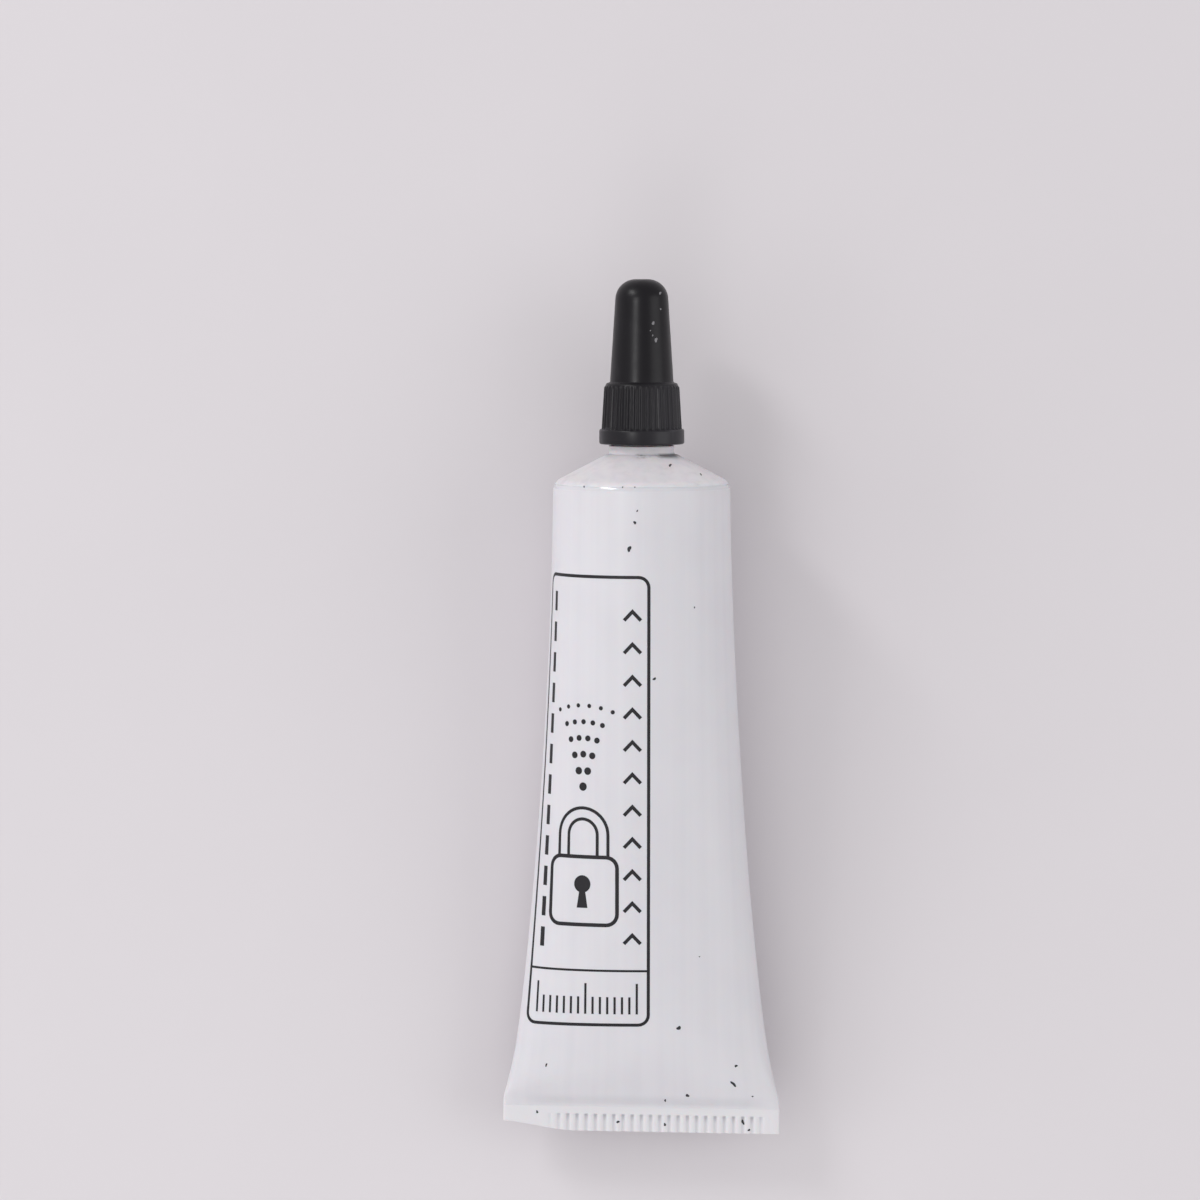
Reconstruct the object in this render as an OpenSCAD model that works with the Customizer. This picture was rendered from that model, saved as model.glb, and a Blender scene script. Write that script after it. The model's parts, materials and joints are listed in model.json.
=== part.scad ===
// Graphite lock lubricant tube: a soft sleeve, round at its rim and welded flat at its foot,
// with a moulded shoulder and nozzle, a screw cap over the nozzle and a charge of powder.
// The tube lies on its belly: +Y points to the cap, +X runs across the sealed foot, +Z is up.

/* [Sleeve] */
// Outside diameter of the sleeve's round rim
sleeve_d = 19.1; // [16:0.1:24]
// Length of the sleeve from its sealed edge to its round rim
sleeve_len = 69.7; // [55:0.1:90]
// Thickness of the sleeve's wall
sleeve_wall = 0.5; // [0.4:0.05:0.7]
// How far the broad sides draw in, midway between the rim and the seal
side_draw = 0.3; // [0:0.01:0.5]
// How the sleeve closes towards the seal: 0.5 is a blunt half oval, 1 a thin wedge
taper_power = 0.55; // [0.5:0.01:0.8]
// Distance from the rim to the place on the belly that the tube lies on
rest_from_rim = 26; // [18:1:36]
// How far the soft belly is pressed flat where the tube lies
belly_flat = 0.3; // [0.1:0.05:0.35]

/* [Sealed foot] */
// Length of the plain welded band next to the sleeve
seal_plain_len = 0.95; // [0.6:0.05:2]
// Length of the serrated band along the edge
seal_ridge_len = 1.8; // [1:0.05:4]
// Distance from one serration to the next
seal_pitch = 1; // [0.8:0.1:2]
// Width of a serration's groove at the face
seal_groove_w = 0.5; // [0.3:0.05:0.7]
// Depth of a serration's groove
seal_groove_depth = 0.15; // [0.05:0.01:0.25]

/* [Head] */
// Height of the shoulder from the sleeve's rim to the foot of the neck
shoulder_h = 4.2; // [3:0.1:6]
// Height of the upright edge of the shoulder above the sleeve's rim
shoulder_edge_h = 0.35; // [0.2:0.05:0.6]
// Radius that rounds the shoulder's edge into its slope
shoulder_round = 1.5; // [0.4:0.1:2]
// Width of the flat ring round the foot of the neck
neck_land_w = 0.7; // [0.4:0.1:1.2]
// Thickness of the shoulder
head_wall = 1.1; // [0.8:0.05:1.4]
// Length of the head's plug inside the sleeve
plug_len = 2.5; // [1.5:0.1:5]
// Thickness of the plug's wall
plug_wall = 0.7; // [0.5:0.05:1.2]
// Clearance between the plug and the sleeve's wall
plug_clear = 0.08; // [0.06:0.01:0.15]

/* [Neck] */
// Diameter of the neck over its thread
neck_d = 6.4; // [5.8:0.1:8]
// Height of the neck
neck_h = 6.4; // [5.2:0.1:8]
// How far the stop ring at the neck's foot stands out of the neck
collar_proud = 0.35; // [0.2:0.05:0.5]
// Height of the stop ring
collar_h = 0.9; // [0.4:0.05:1.2]
// Depth of the thread on the neck and in the cap
thread_depth = 0.4; // [0.3:0.02:0.5]
// Rise of the thread in one turn
thread_lead = 2.1; // [1.9:0.1:2.4]
// Gap between the end of the neck's thread and the neck's top
thread_top_gap = 0.25; // [0.1:0.05:0.6]
// Turns of thread on the neck
neck_thread_turns = 2; // [1:0.1:2]
// Turns of thread in the cap
cap_thread_turns = 1.3; // [0.8:0.1:1.4]
// Width of a thread's flat crest
thread_crest_w = 0.4; // [0.3:0.05:0.5]
// Slope of a thread's flank, counted along the axis
thread_flank_w = 0.2; // [0.1:0.02:0.25]
// Clearance between the crest of one thread and the root of the other
thread_clear = 0.13; // [0.1:0.01:0.2]

/* [Nozzle] */
// Diameter of the nozzle at its foot on the neck
nozzle_foot_d = 4.4; // [4:0.1:5]
// Diameter of the nozzle at its tip
nozzle_tip_d = 3.1; // [2.6:0.1:3.6]
// Length of the nozzle above the neck
nozzle_len = 10.35; // [8:0.05:14]
// Diameter of the hole in the tip
orifice_d = 1.2; // [0.8:0.1:1.6]
// Length of the hole in the tip
orifice_len = 2; // [1:0.1:3]
// Diameter of the passage at the foot of the neck
passage_d = 2.8; // [2:0.1:3.4]

/* [Cap] */
// Gap between the foot of the closed cap and the stop ring
cap_foot_gap = 0.25; // [0.15:0.05:0.6]
// Gap between the top of the neck and the roof of the cap's skirt
cap_roof_gap = 0.35; // [0.2:0.05:0.8]
// Thickness of the roof of the cap's skirt
skirt_roof = 1; // [0.6:0.05:1.5]
// Thickness of the skirt's wall at its top, without the ribs
skirt_wall = 0.57; // [0.5:0.01:0.9]
// How much the skirt widens from its top to the bead
skirt_draft = 0.27; // [0.1:0.01:0.4]
// Radius that rounds the skirt's top edge
skirt_round = 0.3; // [0.1:0.05:0.4]
// Number of grip ribs round the skirt
rib_count = 40; // [24:1:48]
// How far a rib stands out of the skirt
rib_h = 0.17; // [0.08:0.01:0.25]
// Width of a rib
rib_w = 0.3; // [0.2:0.02:0.36]
// Height of the bead round the cap's foot
bead_h = 1.6; // [0.8:0.1:2]
// How far the bead stands out of the skirt
bead_proud = 0.43; // [0.3:0.01:0.6]
// Gap between the nozzle and the inside of the cap's nose
nose_gap = 0.45; // [0.3:0.05:0.6]
// Thickness of the nose's wall
nose_wall = 0.87; // [0.5:0.01:1]
// Thickness of the nose's closed end
tip_wall = 1.1; // [0.8:0.05:1.6]
// Radius that rounds the nose's closed end
tip_round = 2.2; // [0.8:0.01:2.4]

/* [Liner] */
// Thickness of the soft disc in the nose's closed end
liner_t = 1; // [0.6:0.05:1.5]
// Clearance round the disc
liner_clear = 0.05; // [0.03:0.01:0.1]
// Gap between the disc and the nozzle's tip on the closed cap
liner_gap = 0.05; // [0.02:0.01:0.1]

/* [Powder] */
// Depth of the powder over the place that the tube lies on
powder_depth = 7; // [4:0.1:9]
// Gap between the powder and the walls round it
powder_gap = 0.3; // [0.2:0.05:0.5]

/* [Hidden] */
$fn = 96;

sleeve_sides = 48;
sleeve_steps = 18;
powder_steps = 30;
powder_arc_steps = 20;
arc_steps = 8;
thread_steps = 30;
// How far a thread or the seal is sunk into the piece that it is one with
thread_bite = 0.15;
seal_bite = 0.15;
// Least height of the cavity at the seal, and least depth of powder at the heap's thin end
cavity_pinch = 0.3;
powder_edge = 0.6;
// Share of a section's depth above the axis that the powder fills at most
powder_brim = 0.95;

rim_r = sleeve_d / 2;
seal_t = 2 * sleeve_wall;
seal_len = seal_plain_len + seal_ridge_len;
seal_half_w = PI * rim_r / 2;
taper_len = sleeve_len - seal_len;
groove_count = floor((2 * seal_half_w - seal_groove_w) / seal_pitch);
groove_floor_w = seal_groove_w / 2;

neck_r = neck_d / 2;
neck_root_r = neck_r - thread_depth;
collar_r = neck_r + collar_proud;
land_r = neck_r + neck_land_w;
nozzle_foot_r = nozzle_foot_d / 2;
nozzle_tip_r = nozzle_tip_d / 2;
nozzle_top = neck_h + nozzle_len;
plug_r = rim_r - sleeve_wall - plug_clear;
plug_bore_r = plug_r - plug_wall;

// The shoulder's slope is the line from the neck's land that touches its rounded edge
edge_to_land = [rim_r - shoulder_round - land_r, shoulder_h - shoulder_edge_h];
slope = acos(shoulder_round / norm(edge_to_land)) - atan2(edge_to_land[0], edge_to_land[1]);

cap_bore_r = neck_r + thread_clear;
bore_top = neck_h + cap_roof_gap;
skirt_top = bore_top + skirt_roof;
skirt_top_r = cap_bore_r + skirt_wall;
skirt_foot_r = skirt_top_r + skirt_draft;
cap_foot = collar_h + cap_foot_gap;
bead_top = cap_foot + bead_h;
bead_r = skirt_foot_r + bead_proud;
bead_round = bead_proud / 2;
liner_foot = nozzle_top + liner_gap;
liner_top = liner_foot + liner_t;
liner_pocket_r = nozzle_tip_r + nose_gap;
cap_tip = liner_top + tip_wall;
nose_draft = atan((nozzle_foot_r - nozzle_tip_r) / nozzle_len);
tip_arc_z = cap_tip - tip_round;
tip_arc_r = nose_r(tip_arc_z + tip_round * sin(nose_draft)) - tip_round * cos(nose_draft);

// The neck's thread ends just below its top, and the cap's starts half a turn above the neck's
thread_foot_w = thread_crest_w + 2 * thread_flank_w;
thread_start = neck_h - thread_top_gap - thread_foot_w / 2 - neck_thread_turns * thread_lead;

// The axis tilts until the belly is level at the place that it lies on
rest_t = rest_from_rim / taper_len;
rest_step = 0.01;
tilt = atan((half_depth(rest_t - rest_step) - half_depth(rest_t + rest_step))
    / (2 * rest_step * taper_len));
round_lift = max([for (t = steps_to(1)) half_depth(t) * cos(tilt) - station(t) * sin(tilt)]);
lift = round_lift - belly_flat;
back_y = -seal_t / 2 * sin(tilt);
front_y = (sleeve_len + shoulder_h + tip_arc_z) * cos(tilt) + tip_arc_r * sin(tilt) + tip_round;

// Half the sleeve's depth at t, from 0 at the rim to 1 at the seal
function half_depth(t) =
    sleeve_wall + (rim_r - sleeve_wall) * pow(1 - t * t, taper_power) - side_draw * sin(180 * t);

// Half the sleeve's width where it is that deep, with the girth of the round rim kept
girth_power = ln(2) / ln(PI / 2);
function half_width(depth) =
    pow(pow(seal_half_w, girth_power) - pow(depth, girth_power), 1 / girth_power);

// Place along the axis, from the sealed edge
function station(t) = sleeve_len - taper_len * t;

// Values of t from the rim to last_t, closer together towards the seal
function steps_to(last_t) = [for (k = [0 : sleeve_steps]) sin(asin(last_t) * k / sleeve_steps)];

// Depth below the axis of the level ground that the belly lies on
function ground_depth(t) = (lift + station(t) * sin(tilt)) / cos(tilt);

// A point at an angle on an oval section, inside the sleeve's outer face by inset
function oval_point(t, inset, q) =
    let (depth = half_depth(t) - inset, width = half_width(half_depth(t)) - inset)
    [width * cos(q), min(depth * sin(q), ground_depth(t) - inset), station(t)];

function oval(t, inset) =
    [for (i = [0 : sleeve_sides - 1]) oval_point(t, inset, 360 * i / sleeve_sides)];

// Level of the powder's top below the axis, flat when the tube lies on its belly
powder_inset = sleeve_wall + powder_gap;
rest_level = ground_depth(rest_t) - powder_inset - powder_depth;
function powder_level(t) = rest_level + (station(t) - station(rest_t)) * tan(tilt);

// The part of a section that lies under the powder's level
function powder_oval(t) =
    let (depth = half_depth(t) - powder_inset)
    let (first = asin(max(powder_level(t) / depth, -powder_brim)))
    [for (i = [0 : powder_arc_steps])
        oval_point(t, powder_inset, first + (180 - 2 * first) * i / powder_arc_steps)];

// Radius of the nozzle's cone at a height above the shoulder, and of the nose round it
function nozzle_r(z) =
    nozzle_foot_r + (nozzle_tip_r - nozzle_foot_r) * (z - neck_h) / nozzle_len;
function nose_r(z) = nozzle_r(z) + nose_gap + nose_wall;

// Points of an arc round a centre
function arc(centre, r, from, to) =
    [for (i = [0 : arc_steps])
        let (q = from + (to - from) * i / arc_steps)
        centre + r * [cos(q), sin(q)]];

function reversed(list) = [for (i = [len(list) - 1 : -1 : 0]) list[i]];

// Height of the shoulder's outer slope at a radius
function slope_z(r) = shoulder_h - (r - land_r) * tan(slope);

// Closed skin through rings of points, each ring seen counter-clockwise from the next
module loft(rings) {
    n = len(rings[0]);
    end = n * (len(rings) - 1);
    sides = [for (k = [0 : len(rings) - 2], i = [0 : n - 1])
        let (a = k * n + i, b = k * n + (i + 1) % n)
        each [[a, a + n, b + n], [a, b + n, b]]];
    first_cap = [for (i = [1 : n - 2]) [0, i, i + 1]];
    last_cap = [for (i = [1 : n - 2]) [end, end + i + 1, end + i]];
    polyhedron([for (ring = rings) each ring], concat(sides, first_cap, last_cap));
}

// Helical ridge with its crest at crest_r and its root sunk to root_r
module thread_ridge(crest_r, root_r, start_z, turns) {
    sunk_w = thread_crest_w
        + 2 * thread_flank_w * abs(crest_r - root_r) / thread_depth;
    inner_r = min(crest_r, root_r);
    outer_r = max(crest_r, root_r);
    inner_w = crest_r < root_r ? thread_crest_w : sunk_w;
    outer_w = crest_r < root_r ? sunk_w : thread_crest_w;
    last = round(turns * thread_steps);
    loft([for (k = [0 : last])
        let (q = 360 * k / thread_steps, z = start_z + thread_lead * k / thread_steps)
        [[inner_r * cos(q), inner_r * sin(q), z - inner_w / 2],
         [inner_r * cos(q), inner_r * sin(q), z + inner_w / 2],
         [outer_r * cos(q), outer_r * sin(q), z + outer_w / 2],
         [outer_r * cos(q), outer_r * sin(q), z - outer_w / 2]]]);
}

// Puts what stands upright on the sealed edge down on its belly
module lie_down() {
    translate([0, -(front_y + back_y) / 2, lift])
        rotate([tilt - 90, 0, 0])
            children();
}

module at_rim() {
    lie_down() translate([0, 0, sleeve_len]) children();
}

module at_neck() {
    at_rim() translate([0, 0, shoulder_h]) children();
}

// Outline of the serrated band: grooves along one face, and the same on the other
module serrated_outline() {
    first_x = -(groove_count - 1) / 2 * seal_pitch;
    grooves = [for (i = [0 : groove_count - 1])
        let (x = first_x + i * seal_pitch)
        each [
            [x - seal_groove_w / 2, -seal_t / 2],
            [x - groove_floor_w / 2, seal_groove_depth - seal_t / 2],
            [x + groove_floor_w / 2, seal_groove_depth - seal_t / 2],
            [x + seal_groove_w / 2, -seal_t / 2]]];
    face = concat([[-seal_half_w, -seal_t / 2]], grooves, [[seal_half_w, -seal_t / 2]]);
    polygon(concat(face, [for (p = face) -p]));
}

module tube_sleeve() {
    pinch_t = sqrt(1 - pow(cavity_pinch / (rim_r - sleeve_wall), 1 / taper_power));
    outer = [for (t = reversed(steps_to(1))) oval(t, 0)];
    inner = [for (t = steps_to(pinch_t)) oval(t, sleeve_wall)];
    color([0.85, 0.84, 0.86]) lie_down() {
        loft(concat(outer, inner));
        linear_extrude(seal_ridge_len) serrated_outline();
        translate([-seal_half_w, -seal_t / 2, seal_ridge_len])
            cube([2 * seal_half_w, seal_t, seal_plain_len + seal_bite]);
    }
}

module tube_head() {
    edge = arc([rim_r - shoulder_round, shoulder_edge_h], shoulder_round, 0, 90 - slope);
    inner_drop = head_wall / cos(slope);
    passage_r = passage_d / 2;
    neck_top = shoulder_h + neck_h;
    tip = shoulder_h + nozzle_top;
    color([0.81, 0.79, 0.81]) at_rim() {
        rotate_extrude()
            polygon(concat(
                [[plug_bore_r, -plug_len], [plug_r, -plug_len], [plug_r, 0], [rim_r, 0]],
                edge,
                [[land_r, shoulder_h],
                 [collar_r, shoulder_h],
                 [collar_r, shoulder_h + collar_h],
                 [neck_root_r, shoulder_h + collar_h],
                 [neck_root_r, neck_top],
                 [nozzle_foot_r, neck_top],
                 [nozzle_tip_r, tip],
                 [orifice_d / 2, tip],
                 [orifice_d / 2, tip - orifice_len],
                 [passage_r, slope_z(passage_r) - inner_drop],
                 [plug_bore_r, slope_z(plug_bore_r) - inner_drop]]));
        translate([0, 0, shoulder_h])
            thread_ridge(neck_r, neck_root_r - thread_bite, thread_start, neck_thread_turns);
    }
}

module graphite_powder() {
    head_t = (plug_len + powder_gap) / taper_len;
    heap = [for (k = [0 : powder_steps])
        let (t = head_t + (1 - head_t) * sin(90 * k / powder_steps))
        let (depth = half_depth(t) - powder_inset)
        if (min(depth, depth - powder_level(t)) > powder_edge) t];
    color([0.2, 0.2, 0.21]) lie_down()
        loft([for (t = reversed(heap)) powder_oval(t)]);
}

// Grip ribs: a star of bars, cut to the skirt's taper
module grip_ribs() {
    inner_r = cap_bore_r + skirt_wall / 2;
    outer_r = bead_r;
    star = [for (i = [0 : rib_count - 1])
        let (q = 360 * i / rib_count, inner_q = asin(rib_w / 2 / inner_r))
        let (outer_q = asin(rib_w / 2 / outer_r))
        each [
            inner_r * [cos(q - inner_q), sin(q - inner_q)],
            outer_r * [cos(q - outer_q), sin(q - outer_q)],
            outer_r * [cos(q + outer_q), sin(q + outer_q)],
            inner_r * [cos(q + inner_q), sin(q + inner_q)]]];
    intersection() {
        translate([0, 0, bead_top - bead_round])
            linear_extrude(skirt_top - skirt_round - bead_top + bead_round)
                polygon(star);
        rotate_extrude()
            polygon([
                [0, cap_foot],
                [skirt_foot_r + rib_h, cap_foot],
                [skirt_foot_r + rib_h, bead_top],
                [skirt_top_r + rib_h, skirt_top - skirt_round - rib_h],
                [skirt_top_r, skirt_top - skirt_round],
                [0, skirt_top]]);
    }
}

module screw_cap() {
    color([0.2, 0.2, 0.22]) at_neck() {
        difference() {
            union() {
                rotate_extrude()
                    polygon(concat(
                        [[0, cap_foot]],
                        arc([bead_r - bead_round, cap_foot + bead_round], bead_round, -90, 0),
                        arc([bead_r - bead_round, bead_top - bead_round], bead_round, 0, 90),
                        [[skirt_foot_r, bead_top]],
                        arc([skirt_top_r - skirt_round, skirt_top - skirt_round], skirt_round, 0, 90),
                        [[nose_r(skirt_top), skirt_top]],
                        arc([tip_arc_r, tip_arc_z], tip_round, nose_draft, 90),
                        [[0, cap_tip]]));
                grip_ribs();
            }
            rotate_extrude()
                polygon([
                    [0, 0],
                    [cap_bore_r, 0],
                    [cap_bore_r, bore_top],
                    [nozzle_r(bore_top) + nose_gap, bore_top],
                    [liner_pocket_r, liner_foot],
                    [liner_pocket_r, liner_top],
                    [0, liner_top]]);
        }
        thread_ridge(cap_bore_r - thread_depth, cap_bore_r + thread_bite,
            thread_start + thread_lead / 2, cap_thread_turns);
    }
}

module cap_liner() {
    color([0.9, 0.89, 0.86]) at_neck()
        translate([0, 0, liner_foot])
            cylinder(h = liner_t, r = liner_pocket_r - liner_clear);
}

tube_sleeve();
tube_head();
graphite_powder();
screw_cap();
cap_liner();
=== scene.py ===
"""Looks of a graphite lock lubricant tube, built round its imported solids.

Each piece is a surface worked out with numpy on a grid, in the tube's own directions: across the
sealed foot, up from the belly, and along the axis from the foot of the neck to the cap. Lengths are
metres, and MM turns millimetres into metres.
"""

import json
import math

import bmesh
import bpy
import numpy as np
from bpy.props import FloatProperty, FloatVectorProperty, IntProperty, PointerProperty
from bpy.types import Operator, Panel, PropertyGroup
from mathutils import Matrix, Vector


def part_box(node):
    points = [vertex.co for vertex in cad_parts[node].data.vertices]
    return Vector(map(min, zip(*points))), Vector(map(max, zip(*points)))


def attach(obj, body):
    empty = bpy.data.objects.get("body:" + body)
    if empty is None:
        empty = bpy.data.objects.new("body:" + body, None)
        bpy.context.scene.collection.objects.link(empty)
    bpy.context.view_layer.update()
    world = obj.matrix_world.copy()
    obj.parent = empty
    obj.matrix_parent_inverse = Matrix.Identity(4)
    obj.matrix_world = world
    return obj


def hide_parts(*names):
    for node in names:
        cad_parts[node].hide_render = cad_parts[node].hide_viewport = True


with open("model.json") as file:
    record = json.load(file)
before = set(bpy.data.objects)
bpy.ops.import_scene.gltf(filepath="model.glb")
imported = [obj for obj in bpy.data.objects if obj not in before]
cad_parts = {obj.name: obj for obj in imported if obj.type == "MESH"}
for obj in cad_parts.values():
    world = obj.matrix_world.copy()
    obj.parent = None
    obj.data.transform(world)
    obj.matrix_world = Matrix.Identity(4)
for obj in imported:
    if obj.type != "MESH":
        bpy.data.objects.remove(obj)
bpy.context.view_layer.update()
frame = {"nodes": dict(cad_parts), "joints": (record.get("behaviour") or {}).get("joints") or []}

bl_info = {
    "name": "Graphite lock lubricant tube",
    "version": (1, 0, 0),
    "blender": (4, 5, 0),
    "location": "3D View > Sidebar > Tube",
    "description": "Builds a squeeze tube of graphite powder with its screw cap, and a plain stage",
    "category": "Object",
}

MM = 0.001

# The tube's own directions, from the axis that its cap turns on
SCREW = {joint["name"]: joint for joint in frame["joints"]}["cap_turn"]
NECK_FOOT = np.array(SCREW["pos_m"])
AXIS = np.array(SCREW["axis"]) / np.linalg.norm(SCREW["axis"])
ACROSS = np.array([1.0, 0.0, 0.0])
UP = np.cross(ACROSS, AXIS)
DIRECTIONS = np.stack([ACROSS, UP, AXIS])


def reach(node):
    """Lowest and highest place along the axis, and greatest distance from it, of a solid."""
    mesh = frame["nodes"][node].data
    corners = np.empty(3 * len(mesh.vertices))
    mesh.vertices.foreach_get("co", corners)
    across, up, along = DIRECTIONS @ (corners.reshape(-1, 3) - NECK_FOOT).T
    return along.min(), along.max(), np.hypot(across, up).max()


SEALED_EDGE, RIM, _ = reach("tube_sleeve")
PLUG_END, NOZZLE_TIP, RIM_RADIUS = reach("tube_head")
POWDER_FOOT, POWDER_HEAD, _ = reach("graphite_powder")
CAP_FOOT, CAP_TIP, BEAD_RADIUS = reach("screw_cap")
LINER_FOOT, LINER_TOP, LINER_RADIUS = reach("cap_liner")
SEAL_HALF_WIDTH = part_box("tube_sleeve")[1].x
POWDER_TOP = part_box("graphite_powder")[1].z

# The pieces' outsides stay this far inside the solids
INSIDE = 0.012 * MM
RIM_RADIUS -= INSIDE
BEAD_RADIUS -= INSIDE
CAP_TIP -= INSIDE

# Columns round the sleeve, the head, each rib of the cap and the disc, and under the powder
SLEEVE_COLUMNS = 640
HEAD_COLUMNS = 288
CAP_STEPS_PER_RIB = 10
DISC_COLUMNS = 96
POWDER_COLUMNS = 64

# Rows of the sleeve, round its cut edge, on its bands, up its body, on its lip and down its inside
CUT_ROWS = 6
BAND_ROWS = 32
BODY_ROWS = 84
LIP_ROWS = 8
INNER_ROWS = 14
POWDER_ROWS = 90

# Steps in one fine quarter section of the sleeve
FINE_STEPS = 600

# Points this close are merged, and lengths this close count as the same
MERGE_DISTANCE = 1e-7
SAME_LENGTH = 1e-6

# Places across the foot between which the serrations begin and end, the soil in the crease begins and
# ends, and the left corner is trimmed
SERRATIONS_BEGIN = (-0.72 * SEAL_HALF_WIDTH, -0.52 * SEAL_HALF_WIDTH)
SERRATIONS_END = (0.95 * SEAL_HALF_WIDTH, 0.8 * SEAL_HALF_WIDTH)
CREASE_BEGIN = (-0.97 * SEAL_HALF_WIDTH, -0.6 * SEAL_HALF_WIDTH)
CREASE_END = (0.97 * SEAL_HALF_WIDTH, 0.7 * SEAL_HALF_WIDTH)
CORNER_TRIM = (-0.47 * SEAL_HALF_WIDTH, -1.05 * SEAL_HALF_WIDTH)

# Soft waves of the sleeve: turns round it, radians along it and start of each sine
WAVES = ((2, 2.6, 0.0), (3, -5.1, 1.2), (5, 3.7, 4.0), (1, -7.3, 0.0))

# Small heaps on the powder: millimetres across and along for each radian of a sine
POWDER_HEAPS = ((0.9, 1.7), (-1.3, 0.8), (2.3, -3.1))

# Half the floor's width, and distances from the tube between which it fades into the backdrop
FLOOR_HALF = 1.5
FLOOR_LIT = 0.12
FLOOR_EVEN = 0.34


# Properties

def length(name, description, millimetres):
    """A property for a length, written here in millimetres and kept in metres."""
    return FloatProperty(name=name, description=description, default=millimetres * MM,
                         min=0.0, precision=5, unit="LENGTH")


def angle(name, description, degrees):
    """A property for an angle, written here in degrees and kept in radians."""
    return FloatProperty(name=name, description=description, default=math.radians(degrees),
                         subtype="ANGLE")


def amount(name, description, default):
    """A property for a share from 0 to 1."""
    return FloatProperty(name=name, description=description, default=default,
                         min=0.0, max=1.0, subtype="FACTOR")


def power(name, description, watts):
    """A property for a lamp's power."""
    return FloatProperty(name=name, description=description, default=watts, min=0.0, unit="POWER")


def colour(name, description, *display):
    """A colour property, written here as display values from 0 to 255 and kept as linear light."""
    share = np.array(display) / 255
    light = np.where(share <= 0.04045, share / 12.92, ((share + 0.055) / 1.055) ** 2.4)
    return FloatVectorProperty(name=name, description=description, default=tuple(light),
                               min=0.0, max=1.0, size=3, subtype="COLOR")


class SleeveSizes(PropertyGroup):
    """Sizes of the soft sleeve and its sealed foot."""

    wall: length("Wall", "Thickness of the sleeve's wall", 0.5)
    side_draw: length("Side draw", "How far the broad sides draw in midway", 0.3)
    taper_power: amount("Taper", "How the sleeve closes: 0.5 is a blunt oval, 1 a thin wedge", 0.55)
    crease: length("Crease", "Length over which the sleeve bends softly into the welded bands", 2.2)
    weld: length("Weld bead", "Height of the fine bead pressed up next to the welded bands", 0.1)
    ridge_band: length("Serrated band", "Length of the serrated band along the edge", 1.95)
    plain_band: length("Plain band", "Length of the plain welded band above the serrations", 0.8)
    cut_round: length("Cut edge", "Radius that rounds the cut edge of the foot", 0.12)
    cut_line: length("Cut line", "Depth of the fine line between the two walls at the cut edge", 0.05)
    ridge_pitch: length("Pitch", "Distance from one serration to the next", 1.0)
    groove_depth: length("Grooves", "Depth of the grooves between serrations", 0.26)
    foot_slant: angle("Foot slant", "How far the sealed foot leans across the tube", 1.1)
    corner_trim: length("Corner trim", "How much is trimmed off the left corner of the foot", 1.0)
    waves: length("Waves", "Depth of the soft waves in the sleeve", 0.07)
    lip_wrap: angle("Lip wrap", "How far the rim's lip wraps round the shoulder's edge", 28)
    lip: length("Lip", "Thickness of the lip where it ends on the shoulder", 0.25)


class HeadSizes(PropertyGroup):
    """Sizes of the shoulder, the neck and the nozzle."""

    edge_height: length("Edge height", "Upright edge of the shoulder above the rim", 0.35)
    edge_round: length("Edge round", "Radius that rounds the shoulder's edge", 1.5)
    land: length("Land", "Width of the flat ring round the foot of the neck", 0.7)
    collar: length("Stop ring", "How far the stop ring stands out of the neck", 0.35)
    collar_height: length("Stop ring height", "Height of the stop ring at the foot of the neck", 1.0)
    wall: length("Wall", "Thickness of the shoulder", 1.1)
    plug_wall: length("Plug wall", "Thickness of the plug inside the sleeve", 0.7)
    plug_clear: length("Plug clearance", "Clearance between the plug and the sleeve", 0.08)
    seam: length("Seam", "Depth of the fine seam at the end of the sleeve's lip", 0.015)
    neck: length("Neck", "Diameter of the neck over its thread", 6.4)
    neck_height: length("Neck height", "Height of the neck", 6.4)
    thread_depth: length("Thread depth", "Depth of the thread", 0.4)
    thread_lead: length("Thread lead", "Rise of the thread in one turn", 2.1)
    thread_crest: length("Thread crest", "Width of the thread's flat crest", 0.4)
    thread_flank: length("Thread flank", "Slope of the thread's flank along the axis", 0.2)
    thread_turns: FloatProperty(name="Thread turns", description="Turns of thread on the neck",
                                default=2.0, min=1.0, max=2.0)
    nozzle_foot: length("Nozzle foot", "Diameter of the nozzle at its foot", 4.4)
    nozzle_tip: length("Nozzle tip", "Diameter of the nozzle at its tip", 3.1)
    tip_round: length("Tip round", "Radius that rounds the nozzle's tip", 0.3)
    orifice: length("Orifice", "Diameter of the hole in the tip", 1.2)
    orifice_length: length("Orifice length", "Length of the hole in the tip", 2.0)
    passage: length("Passage", "Diameter of the passage at the foot of the neck", 2.8)


class CapSizes(PropertyGroup):
    """Sizes of the screw cap."""

    thread_clear: length("Thread clearance", "Gap between the neck's thread and the bore", 0.13)
    thread_turns: FloatProperty(name="Thread turns", description="Turns of thread in the cap",
                                default=1.3, min=0.8, max=1.4)
    roof_gap: length("Roof gap", "Gap between the neck and the roof of the skirt", 0.35)
    roof: length("Roof", "Thickness of the roof of the skirt", 1.0)
    skirt_wall: length("Skirt wall", "Thickness of the skirt at its top", 0.57)
    skirt_draft: length("Skirt draft", "How much the skirt widens down to the bead", 0.27)
    skirt_round: length("Skirt round", "Radius that rounds the skirt's top edge", 0.3)
    rib_count: IntProperty(name="Ribs", description="Number of grip ribs", default=40, min=24, max=48)
    rib_height: length("Rib height", "How far a rib stands out of the skirt", 0.15)
    bead_height: length("Bead height", "Height of the bead round the foot", 1.6)
    bead_round: length("Bead round", "Radius that rounds the bead's edges", 0.215)
    nose_gap: length("Nose gap", "Gap between the nozzle and the inside of the nose", 0.45)
    nose_wall: length("Nose wall", "Thickness of the nose's wall", 0.87)
    tip_round: length("Tip round", "Radius that rounds the nose's closed end", 2.2)


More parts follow.
